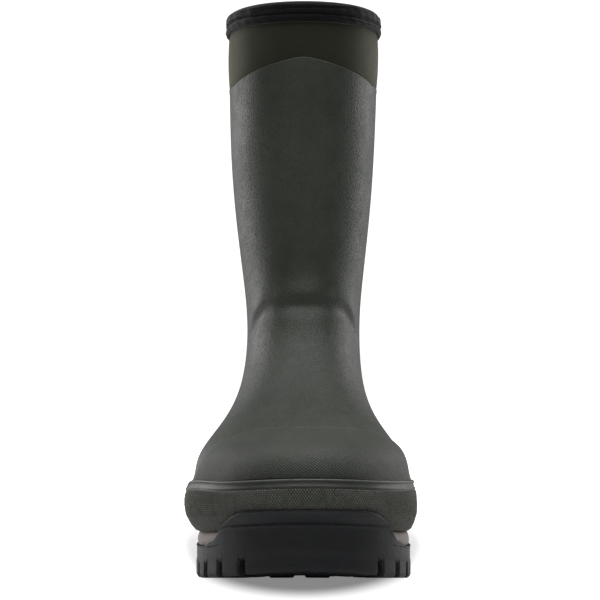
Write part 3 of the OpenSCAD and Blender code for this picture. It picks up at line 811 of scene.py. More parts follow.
def fleece(name, rgb, tufts=420.0):
    """Short pile: tufts with tips lightened by painted light and a ground darkened by painted
    shade, no gloss, a wide sheen.
    """
    material, tree, surface, place = start_material(
        name, rgb, .95, Sheen_Weight=.6, Sheen_Roughness=.5, Specular_IOR_Level=.1)
    pile = place_group(tree, pile_group(), Vector=place, Tufts=tufts)
    # Painted light on the tufts' tips and painted shade on the ground between them.
    tree.links.new(mix(tree, pile["Tips"], four(rgb, .45), four(rgb, 1.35)),
                   surface.inputs["Base Color"])
    tree.links.new(ramp(tree, pile["Tips"], 0, 1, 1.0, .85), surface.inputs["Roughness"])
    raise_by(tree, surface, pile["Height"], .9, .0012)
    return material


def foam(name, rgb, roughness=.75):
    """Moulded foam: a fine closed-cell skin, faintly mottled, darkened along its marked edges by
    painted shade.
    """
    material, tree, surface, place = start_material(name, rgb, roughness, Specular_IOR_Level=.35)
    tone = mottled(tree, place, rgb, 22.0, .88, 1.08)
    pebble = place_group(tree, grain_group(), Vector=place, Scale=2200.0)
    edge_paint = painted_edges(tree, place, .4)
    # Painted shade: the marked edges, where the foam tucks in against its neighbours, mix darker.
    put(tree, mix(tree, edge_paint["Wear"], tone["Colour"], four(rgb, .62)),
        surface.inputs["Base Color"])
    tree.links.new(ramp(tree, pebble["Pits"], 0, 1, roughness, roughness + .12),
                   surface.inputs["Roughness"])
    raise_by(tree, surface, pebble["Height"], .25, .0001)
    return material


def metal(name, rgb, roughness, brushed=True):
    """Brushed steel, or crinkled foil."""
    material, tree, surface, place = start_material(name, rgb, roughness, Metallic=1.0)
    stretch = add(tree, "Mapping", None, Vector=place,
                  Scale=(1800, 40, 400) if brushed else (260, 260, 260))
    marks = noise(tree, stretch.outputs[0], 1.0, 4.0, .6)
    tree.links.new(ramp(tree, marks, .3, .7, roughness - .1, roughness + .15),
                   surface.inputs["Roughness"])
    tree.links.new(mix(tree, marks, four(rgb, .8), four(rgb, 1.1)), surface.inputs["Base Color"])
    raise_by(tree, surface, marks, .3 if brushed else .9, .0002)
    return material


def board(name, rgb, fibres=(900, 900, 900)):
    """Pressed fibre or stiff felt: short fibres in two tones."""
    material, tree, surface, place = start_material(name, rgb, .9, Specular_IOR_Level=.2)
    stretch = add(tree, "Mapping", None, Vector=place, Scale=fibres)
    marks = noise(tree, stretch.outputs[0], 1.0, 5.0, .7)
    tree.links.new(mix(tree, ramp(tree, marks, .35, .65), four(rgb, .7), four(rgb, 1.2)),
                   surface.inputs["Base Color"])
    tree.links.new(ramp(tree, marks, .3, .7, .8, .98), surface.inputs["Roughness"])
    raise_by(tree, surface, marks, .4, .0002)
    return material


# ---- what every operator works from ----
def rgb_of(name):
    """A base colour, as the user left it."""
    return tuple(getattr(bpy.context.scene.boot_colours, name))


def form():
    """The boot's form, from the sizes as they stand."""
    return Form(bpy.context.scene.boot_sizes)


def bend_over_ankle(piece):
    """Bakes the piece's transform into its mesh."""
    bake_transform(piece)


def layer_grid(boot, n, v_outer, v_inner, outer, inner, rim_r=.5):
    """Rows of a cup-shaped layer: up the outer face, over a rounded rim, down the inner face.
    v_outer and v_inner are rows by stations; outer and inner give the depth in mm."""
    u = stations(n)[None, :]
    thick = (outer(u, v_outer[-1:]) - inner(u, v_outer[-1:])).mean()
    rise, depth = rim(thick, min(rim_r, thick * .45))
    per_row = boot.mm_per_row(u, v_outer[-1:])
    rim_v = v_outer[-1:] + rise[:, None] / per_row
    rim_o = outer(u, v_outer[-1:]) + depth[:, None]
    v = np.concatenate([v_outer[:-1], rim_v, v_inner[::-1][1:]])
    o = np.concatenate([outer(u, v_outer[:-1]), rim_o, inner(u, v_inner[::-1][1:])])
    return boot.at(u, v, o)


class BOOT_OT_upper(bpy.types.Operator):
    """Rubber upper in one skin from the sole to the collar, with its ankle fold"""
    bl_idname = "boot.make_upper"
    bl_label = "Rubber upper"

    def execute(self, context):
        boot = form()
        s = boot.mm
        n = 300
        u = stations(n)[None, :]
        top = boot.rubber_top(u)
        # Few rows behind the rand, many over the instep fold.
        low = np.concatenate([np.linspace(*part, endpoint=False)
                              for part in ((0, 2, 8), (2, 7.0, 62), (7.0, 8.6, 76))])[:, None]
        high = 8.6 + (top - 8.6) * np.linspace(0, 1, 46)[:, None]
        v_out = np.concatenate([np.broadcast_to(low, (len(low), n)), high])
        bottom = boot.rise(s.rubber_t)
        v_in = bottom + (top - bottom) * np.linspace(0, 1, 60)[:, None]

        def outer(u, v):
            settle = smooth((v - 2.2) / 1.5) * smooth((top - v) / .8)
            bead = .28 * smooth((v - (top - .055)) / .02)
            return boot.fold(u, v) + boot.flare(u, v) + settle * boot.wander(u, v) + bead

        def inner(u, v):
            return outer(u, v) - boot.flare(u, v) - s.rubber_t

        grid = layer_grid(boot, n, v_out, v_in, outer, inner, rim_r=.7)
        # Painted highlight along the outer corner of the rubber's rounded top edge: these rim rows
        # are marked.
        edge = np.zeros(grid.shape[:2])
        edge[len(v_out) + 1:len(v_out) + 4] = 1
        piece = grid_piece("upper_rubber", grid,
                           rubber("olive_boot_rubber", rgb_of("boot_rubber"),
                                  (.16, .165, .14), wear=.9), "cup", edge=edge)
        bend_over_ankle(piece)
        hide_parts("foot_rubber", "ankle_rubber", "shaft_rubber")
        return {"FINISHED"}


class BOOT_OT_inner(bpy.types.Operator):
    """Neoprene bootie and the fleece lining inside it"""
    bl_idname = "boot.make_inner"
    bl_label = "Neoprene and fleece"

    def execute(self, context):
        boot = form()
        s = boot.mm
        sock_v = boot.rise(s.rubber_t + s.glue_gap + boot.board_t + s.glue_gap)
        floor_v = sock_v + boot.rise(s.neoprene_t)
        lining_v = floor_v + boot.rise(s.glue_gap)
        lining_floor = lining_v + boot.rise(s.lining_t)

        def recess(u, v):
            """Where the toe puff and the heel counter lie in."""
            toe = np.clip((64 - np.abs(u - 180)) / 9, 0, 1)
            heel = np.clip((73 - np.minimum(u, 360 - u)) / 9, 0, 1)
            tall = np.clip((v - .575) / .4, 0, 1) * np.clip((3.975 - v) / .45, 0, 1)
            return (s.stiffener_t + s.glue_gap) * np.maximum(toe, heel) * tall

        def layer(name, n, rows_out, rows_in, depth_out, depth_in, follow, material):
            """A layer with n stations. follow says how much of the fold each face takes."""
            v_out = np.broadcast_to(np.linspace(*rows_out)[:, None], (rows_out[2], n))
            v_in = np.broadcast_to(np.linspace(*rows_in)[:, None], (rows_in[2], n))
            grid = layer_grid(boot, n, v_out, v_in,
                              lambda u, v: depth_out(u, v) + follow[0] * boot.fold(u, v),
                              lambda u, v: depth_in(u, v) + follow[1] * boot.fold(u, v))
            piece = grid_piece(name, grid, material, "cup")
            bend_over_ankle(piece)
            return piece

        top = boot.stack_v
        sock = layer("neoprene_bootie", 160, (sock_v, top, 110), (floor_v, top, 90),
                     lambda u, v: -boot.reach - recess(u, v) + 0 * v,
                     lambda u, v: -boot.reach - s.neoprene_t + 0 * (u + v), (1, .6),
                     cloth("neoprene_jersey", rgb_of("neoprene"), 1100.0, .4, .1))
        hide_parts("foot_sock", "ankle_sock", "leg_sleeve")

        fuzz = np.random.default_rng(context.scene.boot_studio.seed)
        fluff = fuzz.random((400, 400))

        def pile(u, v):
            """Inner face of the lining, uneven by up to .3 mm as pile is."""
            j = (v * 17.3).astype(int) % 400
            i = np.broadcast_to(np.rint(u * 2 / 3).astype(int) % 400, j.shape)
            return -boot.inside + .45 * (fluff[j, i] - .35)

        lining = layer("fleece_lining", 240, (lining_v, top, 60), (lining_floor, top, 210),
                       lambda u, v: -boot.core + 0 * (u + v), pile, (.6, .5),
                       fleece("grey_fleece", rgb_of("fleece")))
        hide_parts("foot_lining", "ankle_lining", "leg_lining")
        return {"FINISHED"}


def patch_piece(name, boot, us, top_rows, thick, material, fade_from):
    """A rubber patch glued on the upper from the rand's lip to the row given at each station:
    flat-bottomed, with a rounded edge. The attribute fade is 1 at the lip and 0 where the
    moulded diamonds die out."""
    m = 44
    foot = boot.cap_foot
    rise, depth = rim(thick, .6, 4)
    per_row = boot.mm_per_row(us, top_rows)
    t = (np.arange(m) / m)[:, None]
    up_v = foot + (top_rows - foot - .6 / per_row)[None, :] * t
    rim_v = top_rows[None, :] + np.minimum(0, rise[:, None]) / per_row[None, :]
    rim_v = np.maximum(rim_v, foot)
    up_o = np.full_like(up_v, boot.patch_gap + thick)
    rim_o = boot.patch_gap + thick + depth[:, None] + 0 * us
    v = np.concatenate([up_v, rim_v, up_v[::-1]])
    o = np.concatenate([up_o, rim_o, np.full_like(up_v, boot.patch_gap)])
    taper = smooth((top_rows - foot) / .10)[None, :]
    o = boot.patch_gap + (o - boot.patch_gap) * (.25 + .75 * taper) + boot.flare(us[None, :], v)
    grid = boot.at(us[None, :], v, o)
    # Painted highlight along the outer corner of the patch's rounded top edge.
    edge = np.zeros(v.shape)
    edge[m - 1:m + 4] = 1
    piece = grid_piece(name, grid, material, "patch", edge=edge)
    point_value(piece, "fade", smooth((fade_from - v) / (fade_from - foot - .15)))
    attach(piece, FOOT)
    return piece


class BOOT_OT_patches(bpy.types.Operator):
    """Toe cap and heel patch"""
    bl_idname = "boot.make_patches"
    bl_label = "Toe cap and heel patch"

    def execute(self, context):
        boot = form()
        s = boot.mm
        material = rubber("cap_rubber", rgb_of("cap_rubber"), (.10, .105, .09), grain=1500.0,
                          relief=.42, depth=.0003, roughness=.56, diamonds=.00175, wear=.3)
        a = np.linspace(-90, 90, 150)
        side = np.where(a > 0, 54, 71)
        us = 180 + side * sind(a)
        shoulder = np.abs(us - 180) / side * .995
        tops = boot.cap_foot + .02 + 2.3 * (1 - shoulder**3.4) ** .65
        cap = patch_piece("toe_cap_skin", boot, us, tops, s.patch_t, material, 3.55)
        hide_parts("toe_cap")
        us = 48 * sind(np.linspace(-90, 90, 110))
        tops = boot.cap_foot + .35 + 2.1 * np.sqrt(1 - (np.abs(us) / 48.4) ** 4)
        heel = patch_piece("heel_patch_skin", boot, us, tops, s.patch_t, material, 3.9)
        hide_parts("heel_patch")
        return {"FINISHED"}


class BOOT_OT_rand(bpy.types.Operator):
    """Knurled rand round the foot, with its smooth lip"""
    bl_idname = "boot.make_rand"
    bl_label = "Rand"

    def execute(self, context):
        boot = form()
        s = boot.mm
        u = even_stations(boot, 2 * round(835 / s.knurl_pitch), 1.0,
                          lambda u: boot.rand_out(u, 1.0))[None, :]
        step = smooth((u - 236) / 7) * smooth((336 - u) / 20)
        lip = boot.lip_v + .16 * (bump((u - 122) / 22) + bump((u - 230) / 14)) - .20 * step
        per_row = np.interp(1 - cosd(u), [0, 2], [s.rand_heel_h / 2, s.rand_toe_h / 2])

        def face(v):
            return boot.rand_face(u, v)

        # Knurled field: rows from the foot to 4.6 mm under the lip, high and low by turns.
        count = 24
        field_top = lip - 4.6 / per_row
        field = .02 + (field_top - .02) * np.linspace(0, 1, count + 1)[:, None]
        odd = (np.arange(count + 1)[:, None] + np.arange(u.shape[1])[None, :]) % 2
        ends = np.ones(count + 1)
        ends[[0, -1]] = 0
        field_o = face(field) + s.knurl_h * odd * ends[:, None] - .15 * (1 - ends[:, None])
        # Above it: a ridge, a shallow smooth channel and the rounded lip bead, in mm under the lip.
        under = np.array([4.2, 3.7, 3.2, 2.4, 1.6, 1.25, .9, .5, .2, .03])[:, None]
        proud = np.array([.30, .16, -.12, -.30, -.32, -.22, .10, .16, -.05, -.6])[:, None]
        band_v = lip - under / per_row
        band_o = face(band_v) + proud
        ledge_o = (face(lip) + 0 * u) * np.array([.80, .6, .42])[:, None]
        ledge_v = lip + np.array([.25, .1, -.25])[:, None] / per_row
        inner_v = lip * np.linspace(.97, 0, 8)[:, None] + 0 * u
        inner_o = np.full_like(inner_v, s.glue_gap)
        foot_v = np.zeros((2, 1)) + 0 * u
        foot_o = face(0 * u) * np.array([.45, .85])[:, None]
        v = np.concatenate([field, band_v, ledge_v, inner_v, foot_v])
        o = np.concatenate([field_o, band_o, ledge_o, inner_o, foot_o])
        # Painted highlights: a line along the lip bead, and a dot on each raised knurl tip.
        edge = np.zeros(v.shape)
        edge[count + 8:count + 10] = .7
        edge[1:count] = odd[1:count]
        piece = grid_piece("rand_band", boot.at(u, v, o),
                           rubber("rand_rubber", rgb_of("rand_rubber"), (.20, .21, .175),
                                  grain=1600.0, relief=.2, depth=.00015, roughness=.46, wear=.8),
                           "sleeve", flat_rows=(0, count), edge=edge)
        split_knurl(piece, count, u.shape[1])
        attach(piece, FOOT)
        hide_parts("rand")
        return {"FINISHED"}


def split_knurl(piece, rows, n):
    """Cuts each knurled quad along its valley, the diagonal that joins its two low corners."""
    mesh = piece.data
    total = len(mesh.polygons)
    corners = np.empty(len(mesh.loops), np.int32)
    mesh.loops.foreach_get("vertex_index", corners)
    uv = np.empty(len(mesh.loops) * 2, np.float32)
    mesh.uv_layers["UVMap"].data.foreach_get("uv", uv)
    quads, uv = corners.reshape(total, 4), uv.reshape(total, 4, 2)
    j, i = quads[:, 0] // n, quads[:, 0] % n
    knurled = j < rows
    low_first = ((i + j) % 2 == 0)[:, None]
    k, kuv = quads[knurled], uv[knurled]
    pick = low_first[knurled]
    first = np.where(pick, [[0, 1, 2]], [[0, 1, 3]])
    second = np.where(pick, [[0, 2, 3]], [[1, 2, 3]])
    order = np.concatenate([first, second])
    twice = np.concatenate([np.arange(len(k))] * 2)[:, None]
    edge = np.empty(len(mesh.vertices), np.float32)
    mesh.attributes["edge"].data.foreach_get("value", edge)
    points = np.empty(len(mesh.vertices) * 3, np.float32)
    mesh.vertices.foreach_get("co", points)
    triangles = k[twice, order]
    flat = np.concatenate([np.ones(len(triangles), bool), np.zeros((~knurled).sum(), bool)])
    material, name = mesh.materials[0], piece.name
    made = mesh_piece(name + "_cut", points, [triangles, quads[~knurled]],
                      [kuv[twice, order], uv[~knurled]], material, flat)
    point_value(made, "edge", edge)
    piece.data = made.data
    bpy.data.objects.remove(made)
    bpy.data.meshes.remove(mesh)
    piece.data.name = name


class BOOT_OT_midsole(bpy.types.Operator):
    """Foam midsole between the outsole and the rand"""
    bl_idname = "boot.make_midsole"
    bl_label = "Midsole"

    def execute(self, context):
        boot = form()
        s = boot.mm
        u = stations(300)[None, :]
        share = np.array([0, .04, .1, .2, .35, .5, .65, .8, .9, .96, 1])[:, None]
        tuck = np.array([1.6, .6, .12, 0, 0, 0, 0, 0, .1, .5, 1.4])[:, None]
        swell = .9 * sind(180 * share) - .5 * bump((share - .17) / .035)
        low = boot.sole_at(u, s.outsole_t + s.glue_gap, 1.2)
        high = boot.at(u, 0, -.2) - np.array([0, 0, s.glue_gap * MM])
        out = boot.flat_normal(u, 0 * u)[0]
        grid = low + (high - low) * share[..., None] + ((swell - tuck)[..., None] * out) * MM
        # Painted shade where the foam tucks in, over the outsole and under the rand: its bottom and
        # top rows are marked.
        edge = np.zeros(grid.shape[:2])
        edge[[0, 1, -2, -1]] = 1
        piece = grid_piece("midsole_foam", grid, foam("taupe_midsole", rgb_of("midsole")), "cup",
                           edge=edge)
        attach(piece, FOOT)
        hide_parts("midsole")
        return {"FINISHED"}


class BOOT_OT_outsole(bpy.types.Operator):
    """Lugged outsole with its bumper turned up over the toe"""
    bl_idname = "boot.make_outsole"
    bl_label = "Outsole"

    def execute(self, context):
        boot = form()
        s = boot.mm
        material = rubber("sole_rubber", rgb_of("sole_rubber"), (.05, .052, .056), grain=1400.0,
                          relief=.12, depth=.00015, roughness=.46, drift=.12, gloss=.3, wear=.3)
        body = self.body(boot, s, material)
        blocks = self.blocks(boot, s, material)
        parts = [body, blocks]
        with bpy.context.temp_override(active_object=body, object=body, selected_objects=parts,
                                       selected_editable_objects=parts):
            bpy.ops.object.join()
        body.name = body.data.name = "outsole_tread"
        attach(body, FOOT)
        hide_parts("outsole")
        return {"FINISHED"}

    def lugs_of(self, boot, s, side):
        """Stations of one side from heel to toe, in degrees up to 180, and for each its distance
        in mm from the middle of the nearest gap between lugs (huge under the toe lug)."""
        fine = np.linspace(0, 180, 1801)
        run = run_of(boot.sole_at(fine, 0, s.sole_margin)) / MM
        total = run[-1]
        length = total - 1.5 - (boot.toe_lug_in if side > 0 else boot.toe_lug_out)
        count = int(length // (s.lug_w + s.lug_gap))
        pitch = length / count
        gaps = np.append(pitch * np.arange(0, count), length + .75)
        marks = np.array([0, .5, 1, 1.5, 2, 2.5, 2.9, 3.3, 3.8, 4.6, 6.5])
        runs = (gaps[:, None] + np.concatenate([-marks[::-1], marks[1:]])).ravel()
        runs = np.concatenate([runs, length + 8 + np.arange(0, total - length - 9, 2.0)])
        runs = np.unique(np.round(runs[(runs > .2) & (runs < total - .2)], 2))
        runs = np.concatenate([[0], runs, [total]])
        off = np.abs(runs[:, None] - gaps).min(1)
        return np.interp(runs, run, fine), off

    def body(self, boot, s, material):
        """One grid: from the tread's floor under the lugs, up the notched side wall, over a low
        rim that rises into the toe bumper, down behind it and in over the top."""
        right, off_right = self.lugs_of(boot, s, 1)
        left, off_left = self.lugs_of(boot, s, -1)
        u = np.concatenate([right, 360 - left[-2:0:-1]])[None, :]
        off = np.concatenate([off_right, off_left[-2:0:-1]])[None, :]
        base = boot.skin(u, 0 * u)[..., 2]
        y = boot.skin(u, 0 * u)[..., 1]
        base = base - boot.lift(y)
        in_arch = smooth((y + 45) / 6) * smooth((9 - y) / 6)
        around = np.abs(u - 180)

        # Gap between lugs: full width under the sole, a wedge up the wall.
        gap = 1 - smooth((off - 1.9) / 1.3)
        low = s.lug_h * (.55 * in_arch * (1 - gap) + gap)
        tall = s.lug_h * (.75 + .85 * smooth((around - 52) / 30))
        z_top = s.outsole_t
        wall = np.array([0, .03, .08, .16, .26, .38, .5, .62, .74, .84, .93, 1])[:, None]
        z = low + (z_top - low) * wall
        wedge = s.lug_gap / 2 * np.clip(1 - (z / tall), 0, 1) ** .8
        carve = 2.6 * smooth((wedge - off + .35) / .7) * np.clip(1.35 * (1 - z / tall), 0, 1)
        full = np.where(z < s.lug_h + .05, gap * 2.6, 0)
        carve = np.maximum(carve, full * np.clip((s.lug_h + 1 - z) / 2, 0, 1))

        # The wall stands out as far as the bumper at the toe, so that the two are one face.
        toe = smooth((64 - around) / 22)
        bumper_o = boot.rand_face(u, 0 * u) + s.glue_gap + s.bumper_t
        wall_o = s.sole_margin + (bumper_o - s.sole_margin) * toe
        below = smooth((s.lug_h + 1.2 - z) / .5)
        edge_in = 1.0 * smooth((1.1 - (z - low)) / 1.1)
        side_o = wall_o - carve - .38 * below * toe - edge_in + .35 * (1 - toe) * below

        # Rim and bumper: t runs up the face, then over and down the back.
        top = boot.bumper_top(u)
        ends = (z_top + .5 - base) / boot.sole_row
        slope = boot.bumper_top(np.array([180 + boot.bumper_half]))[0]
        beyond = slope + (ends - slope) * smooth((around - boot.bumper_half) / 9)
        top = np.where(around < boot.bumper_half, np.maximum(top, ends), np.maximum(beyond, ends))
        start = (z_top - base) / boot.sole_row
        rise, depth = rim(s.bumper_t, .7, 3)
        per_row = np.where(top > 0, boot.mm_per_row(u, np.maximum(top, .1)), boot.sole_row)
        t = np.linspace(0, 1, 20)[1:-1, None]
        round_r = np.minimum(1, (top - start) * per_row / 2)
        face_v = start + (top - .7 * round_r / per_row - start) * t
        rim_v = top + rise[:, None] * round_r / per_row
        back_v = face_v[::-1]
        side_now = wall_o - s.glue_gap - boot.rand_face(u, 0 * u)
        thin = smooth((boot.bumper_half + 6 - around) / 8)
        face_o = side_now + (s.bumper_t - side_now) * smooth(np.maximum(face_v, -1) + 1)
        face_o = face_o + .1 * bump(face_v / .35) * thin * smooth((top - face_v) * 4)
        lip_o = s.bumper_t * thin + side_now * (1 - thin)
        rim_o = lip_o + depth[:, None] * (.55 + .45 * thin)
        back_o = 0 * back_v + (lip_o - s.bumper_t) * (1 - thin)

        under = np.array([.06, .3, .6, .94, 1.0, 1.04, 1.1])[:, None]
        up = np.array([0, 0, 0, 0, .15, .9, 1.0])[:, None]
        reach = s.lug_depth * (1 - .3 * in_arch)
        under_o = side_o[:1] - .4 - under * reach
        under_z = low + (s.lug_h - low) * up
        top_o = np.array([1.0, -12])[:, None] + 0 * u
        top_o[0] = np.minimum(1.0, boot.rand_face(u, 0 * u)[0])
        top_z = np.full_like(top_o, z_top)
        grid = np.concatenate([boot.sole_at(u, under_z[::-1], under_o[::-1]),
                               boot.sole_at(u, z, side_o), boot.bumper_at(u, face_v, face_o),
                               boot.bumper_at(u, rim_v, rim_o), boot.bumper_at(u, back_v, back_o),
                               boot.sole_at(u, top_z, top_o)])
        # Painted highlights along the lower edge of the tread's side wall and over the bumper's
        # rim.
        edge = np.zeros(grid.shape[:2])
        lip = len(under) + len(wall) + len(t)
        edge[6:9] = .8
        edge[lip:lip + 4] = 1
        return grid_piece("outsole_body", grid, material, "cup", edge=edge)

    def blocks(self, boot, s, material):
        """Chevron blocks down the middle, each a bevelled eight-cornered form."""
        spots = []
        for i in range(5):
            y, w = boot.ball_y + 62 - 26 * i, 15 if i == 4 else 19
            spots += [(-2 + side * (w / 2 + 2.5), y, w, 13, -side * 4) for side in (-1, 1)]
        spots += [(0, s.heel_reach * (.62 - .34 * i), 18, 14, 0) for i in range(2)]
        x, y, w, d, skew = np.array(spots, float).T[..., None, None]
        # Section from the floor of the tread down to the block's face and over it.
        high = np.array([s.lug_h + 1, 1.2, .35, 0])[:, None]
        grow = np.array([0, -.3, -.8, -1.6])[:, None]
        turn = np.linspace(0, 360, 32, endpoint=False)[None, :]
        power = .18
        cx = np.sign(cosd(turn)) * np.abs(cosd(turn)) ** power
        cy = np.sign(sind(turn)) * np.abs(sind(turn)) ** power
        px = x + cx * (w / 2 + grow)
        py = y + cy * (d / 2 + grow) + cx * skew
        pz = high + boot.lift(py)
        rows = np.stack([px, py, pz], -1)[:, ::-1]
        count, m, n = rows.shape[:3]
        faces = repeated([f[:, ::-1] for f in form_faces(m, n)], count, m * n)
        points = (rows.reshape(-1, 3) - boot.origin) * MM
        uv = [points[f][..., :2] for f in faces]
        piece = mesh_piece("blocks", points, faces, uv, material)
        point_value(piece, "edge", np.zeros(len(points)))
        return piece


class BOOT_OT_footbed(bpy.types.Operator):
    """Foam footbed with its fleece top"""
    bl_idname = "boot.make_footbed"
    bl_label = "Footbed"

    def execute(self, context):
        boot = form()
        s = boot.mm
        lining_floor = boot.rise(s.rubber_t + boot.board_t + s.neoprene_t + s.lining_t
                                 + 3 * s.glue_gap)
        bed_v = lining_floor + boot.rise(s.glue_gap + .4 + s.glue_gap)
        bed_top = bed_v + boot.rise(s.footbed_t)
        cover_v = bed_top + boot.rise(s.glue_gap)
        cover_top = cover_v + boot.rise(s.footbed_cover_t)
        u = stations(240)[None, :]
        side = -boot.inside - s.footbed_room

        def slab(name, low, high, crown, material, node):
            """A slab between two rows with rounded edges. crown lifts rings inside the top edge."""
            share = np.array([0, .12, .5, .88, 1])[:, None]
            tuck = np.array([.8, .15, 0, .15, .8])[:, None]
            v = low + (high - low) * share + 0 * u
            rows = boot.at(u, v, side - tuck)
            middle = (rows[-1:] + rows[-1:, (-np.arange(u.shape[1])) % u.shape[1]]) / 2
            rings = [rows[-1:] + (middle - rows[-1:]) * k for k in (.12, .3, .55, .8, .97)]
            for ring, lift in zip(rings, (.35, .7, .95, 1, 1)):
                ring[..., 2] += crown * lift * MM
            piece = grid_piece(name, np.concatenate([rows, *rings]), material, "cup")
            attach(piece, FOOT)
            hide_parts(node)

        slab("footbed_foam", bed_v, bed_top, 0.0, foam("footbed_foam", rgb_of("footbed")),
             "footbed")
        slab("footbed_fleece", cover_v, cover_top, .5,
             fleece("footbed_pile", rgb_of("fleece"), 520.0), "footbed_cover")
        return {"FINISHED"}


class BOOT_OT_collar(bpy.types.Operator):
    """Olive cloth over the neoprene collar"""
    bl_idname = "boot.make_collar"
    bl_label = "Collar cloth"

    def execute(self, context):
        boot = form()
        s = boot.mm
        u = stations(288)[None, :]
        edge_v = boot.rubber_top(u)
        low = edge_v - .9 / boot.mm_per_row(u, edge_v)
        t = np.linspace(0, 1, 40)[:, None]
        top = boot.stack_v
        v = low + (top - low) * t
        show = np.clip((v - low) / (boot.binding_v - low), 0, 1)
        # It bulges softly over the rubber's edge and under the binding, with slack pulls.
        pull = .22 * sind(7 * u + 260 * v) * bump((u - 150) / 45) + \
            .25 * sind(9 * u - 200 * v) * bump((u - 215) / 30) + .12 * sind(4 * u + 90 * v)
        puff = 1.25 * np.sqrt(np.clip(sind(180 * np.clip(show, 0, 1)), 0, 1)) + \
            pull * smooth(show * 4) * smooth((1 - show) * 4)
        base = -boot.reach + s.glue_gap
        outer = base + s.facing_t + puff
        inner = base + np.maximum(0, puff - .2)
        grid = np.concatenate([boot.at(u, v, outer), boot.at(u, v[::-1], inner[::-1])])
        piece = grid_piece("collar_cloth", grid,
                           cloth("olive_collar_cloth", rgb_of("collar"), 1300.0, .5, .35,
                                 tint=(.9, .88, .7)), "sleeve")
        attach(piece, SHAFT)
        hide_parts("collar_facing")
        return {"FINISHED"}


class BOOT_OT_binding(bpy.types.Operator):
    """Soft stretch binding folded over the top edge, and its stitches"""
    bl_idname = "boot.make_binding"
    bl_label = "Binding"

    def execute(self, context):
        boot = form()
        s = boot.mm
        u = stations(360)[None, :]
        out = -boot.reach + 2 * s.glue_gap + s.facing_t
        inn = -boot.inside - s.glue_gap
        mid, half = (out + inn) / 2, (out - inn) / 2 + s.binding_t
        top_v, low_v = boot.top_v - .05, boot.binding_v
        per_row = boot.mm_per_row(90, 11.8)
        height = (top_v - low_v) * per_row

        # Outer face, from its turned lower edge up: rolls and creases in mm above the edge.
        h = np.linspace(0, height, 34)[:, None]
        sag = .55 * sind(2 * u + 30) + .35 * sind(5 * u)
        gather = smooth((u - 95) / 25) * smooth((178 - u) / 40)
        creases = -.75 * bump((h - 4.6 - .5 * sag) / .85) - \
            .55 * bump((h - 8.4 + .6 * sag - 2.2 * sind(u)) / .8) * \
            (.35 + .65 * bump((u - 165) / 45))
        rolls = .55 * bump((h - 2.4 - .4 * sag) / 1.4) + .35 * bump((h - 6.6) / 1.3) + \
            .3 * bump((h - 11) / 2)
        second = -.7 * gather * bump((h - 2.1 - .8 * sag) / .6) + .5 * gather * bump((h - .9) / .8)
        ripple = .16 * sind(23 * u + 60 * h / 3) * bump((h - 7) / 5) + .12 * sind(41 * u - 25 * h)
        proud = .45 + creases + rolls + second + ripple
        face_v = low_v + (top_v - low_v) * h / height + 0 * u
        face_o = out + s.binding_t + proud * smooth(h / 1.0 + .35)
        a = np.linspace(0, 180, 15)[1:, None]
        arch_v = top_v + .05 * sind(a) + 0 * u
        lumps = .25 * sind(6 * u + 20) + .15 * sind(13 * u)
        arch_o = mid + (half + .3 * cosd(a) + lumps * np.abs(cosd(a))) * cosd(a)
        inner_h = np.linspace(height, 0, 14)[1:, None]
        inner_v = low_v + (top_v - low_v) * inner_h / height + 0 * u
        inner_o = inn - s.binding_t - .35 * bump((inner_h - 3) / 2) + 0 * u
        back_v = np.array([low_v, low_v, low_v + .02])[:, None] + 0 * u
        back_o = np.array([inn - s.binding_t * .5, inn, inn])[:, None] + 0 * u
        under_v = boot.stack_v + .25 / boot.reach_rows / 2
        ceiling_v = np.full((2, 1), under_v) + 0 * u
        ceiling_o = np.array([inn, out])[:, None] + 0 * u
        last_v = np.array([low_v + .03, low_v, low_v - .01])[:, None] + 0 * u
        last_o = np.array([out, out + .2, out + s.binding_t * .55])[:, None] + 0 * u
        v = np.concatenate([face_v, arch_v, inner_v, back_v, ceiling_v, last_v])
        o = np.concatenate([face_o, arch_o, inner_o, back_o, ceiling_o, last_o])
        grid = boot.at(u, v, o)
        piece = grid_piece("binding_tape", grid,
                           cloth("black_binding", rgb_of("binding"), 1700.0, .35, .18,
                                 drift=.2), "sleeve")
        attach(piece, SHAFT)
        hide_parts("top_binding")
        self.stitches(boot, s, low_v + .6 * (top_v - low_v), out + s.binding_t + .35)
        return {"FINISHED"}

    def stitches(self, boot, s, v, o):
        """One row of short stitches, each a slack capsule laid along the binding's face."""
        fine = np.linspace(0, 360, 721)
        ring = run_of(boot.at(fine, v, o)) / MM
        count = int(ring[-1] // (s.stitch_l * 1.5))
        centre = np.interp((np.arange(count) + .5) * ring[-1] / count, ring, fine)
        spot = boot.at(centre, v, o)
        along = unit(boot.at(centre + .5, v, o) - boot.at(centre - .5, v, o))
        out = boot.normal(centre, v)
        up = np.cross(out, along)
        a = np.linspace(-1, 1, 9)
        swell = np.sqrt(np.maximum(0, 1 - a**4)) * .36 + .01
        turn = np.linspace(0, 360, 8, endpoint=False)
        along_mm = a * s.stitch_l / 2
        arch = .18 * (1 - a * a)
        side = swell[:, None] * cosd(turn)
        rise = swell[:, None] * sind(turn) + arch[:, None]
        points = (spot[:, None, None]
                  + (along_mm[:, None, None] * MM) * along[:, None, None, :]
                  + (side[..., None] * MM) * up[:, None, None, :]
                  + (rise[..., None] * MM) * out[:, None, None, :])
        m, n = len(a), len(turn)
        faces = repeated(form_faces(m, n), count, m * n)
        flat_points = points.reshape(-1, 3)
        uv = [flat_points[f][..., :2] for f in faces]
        material = cloth("black_thread", rgb_of("thread"), 3000.0, .6, .1)
        piece = mesh_piece("binding_stitches", flat_points, faces, uv, material)
        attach(piece, SHAFT)
        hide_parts("binding_stitch")


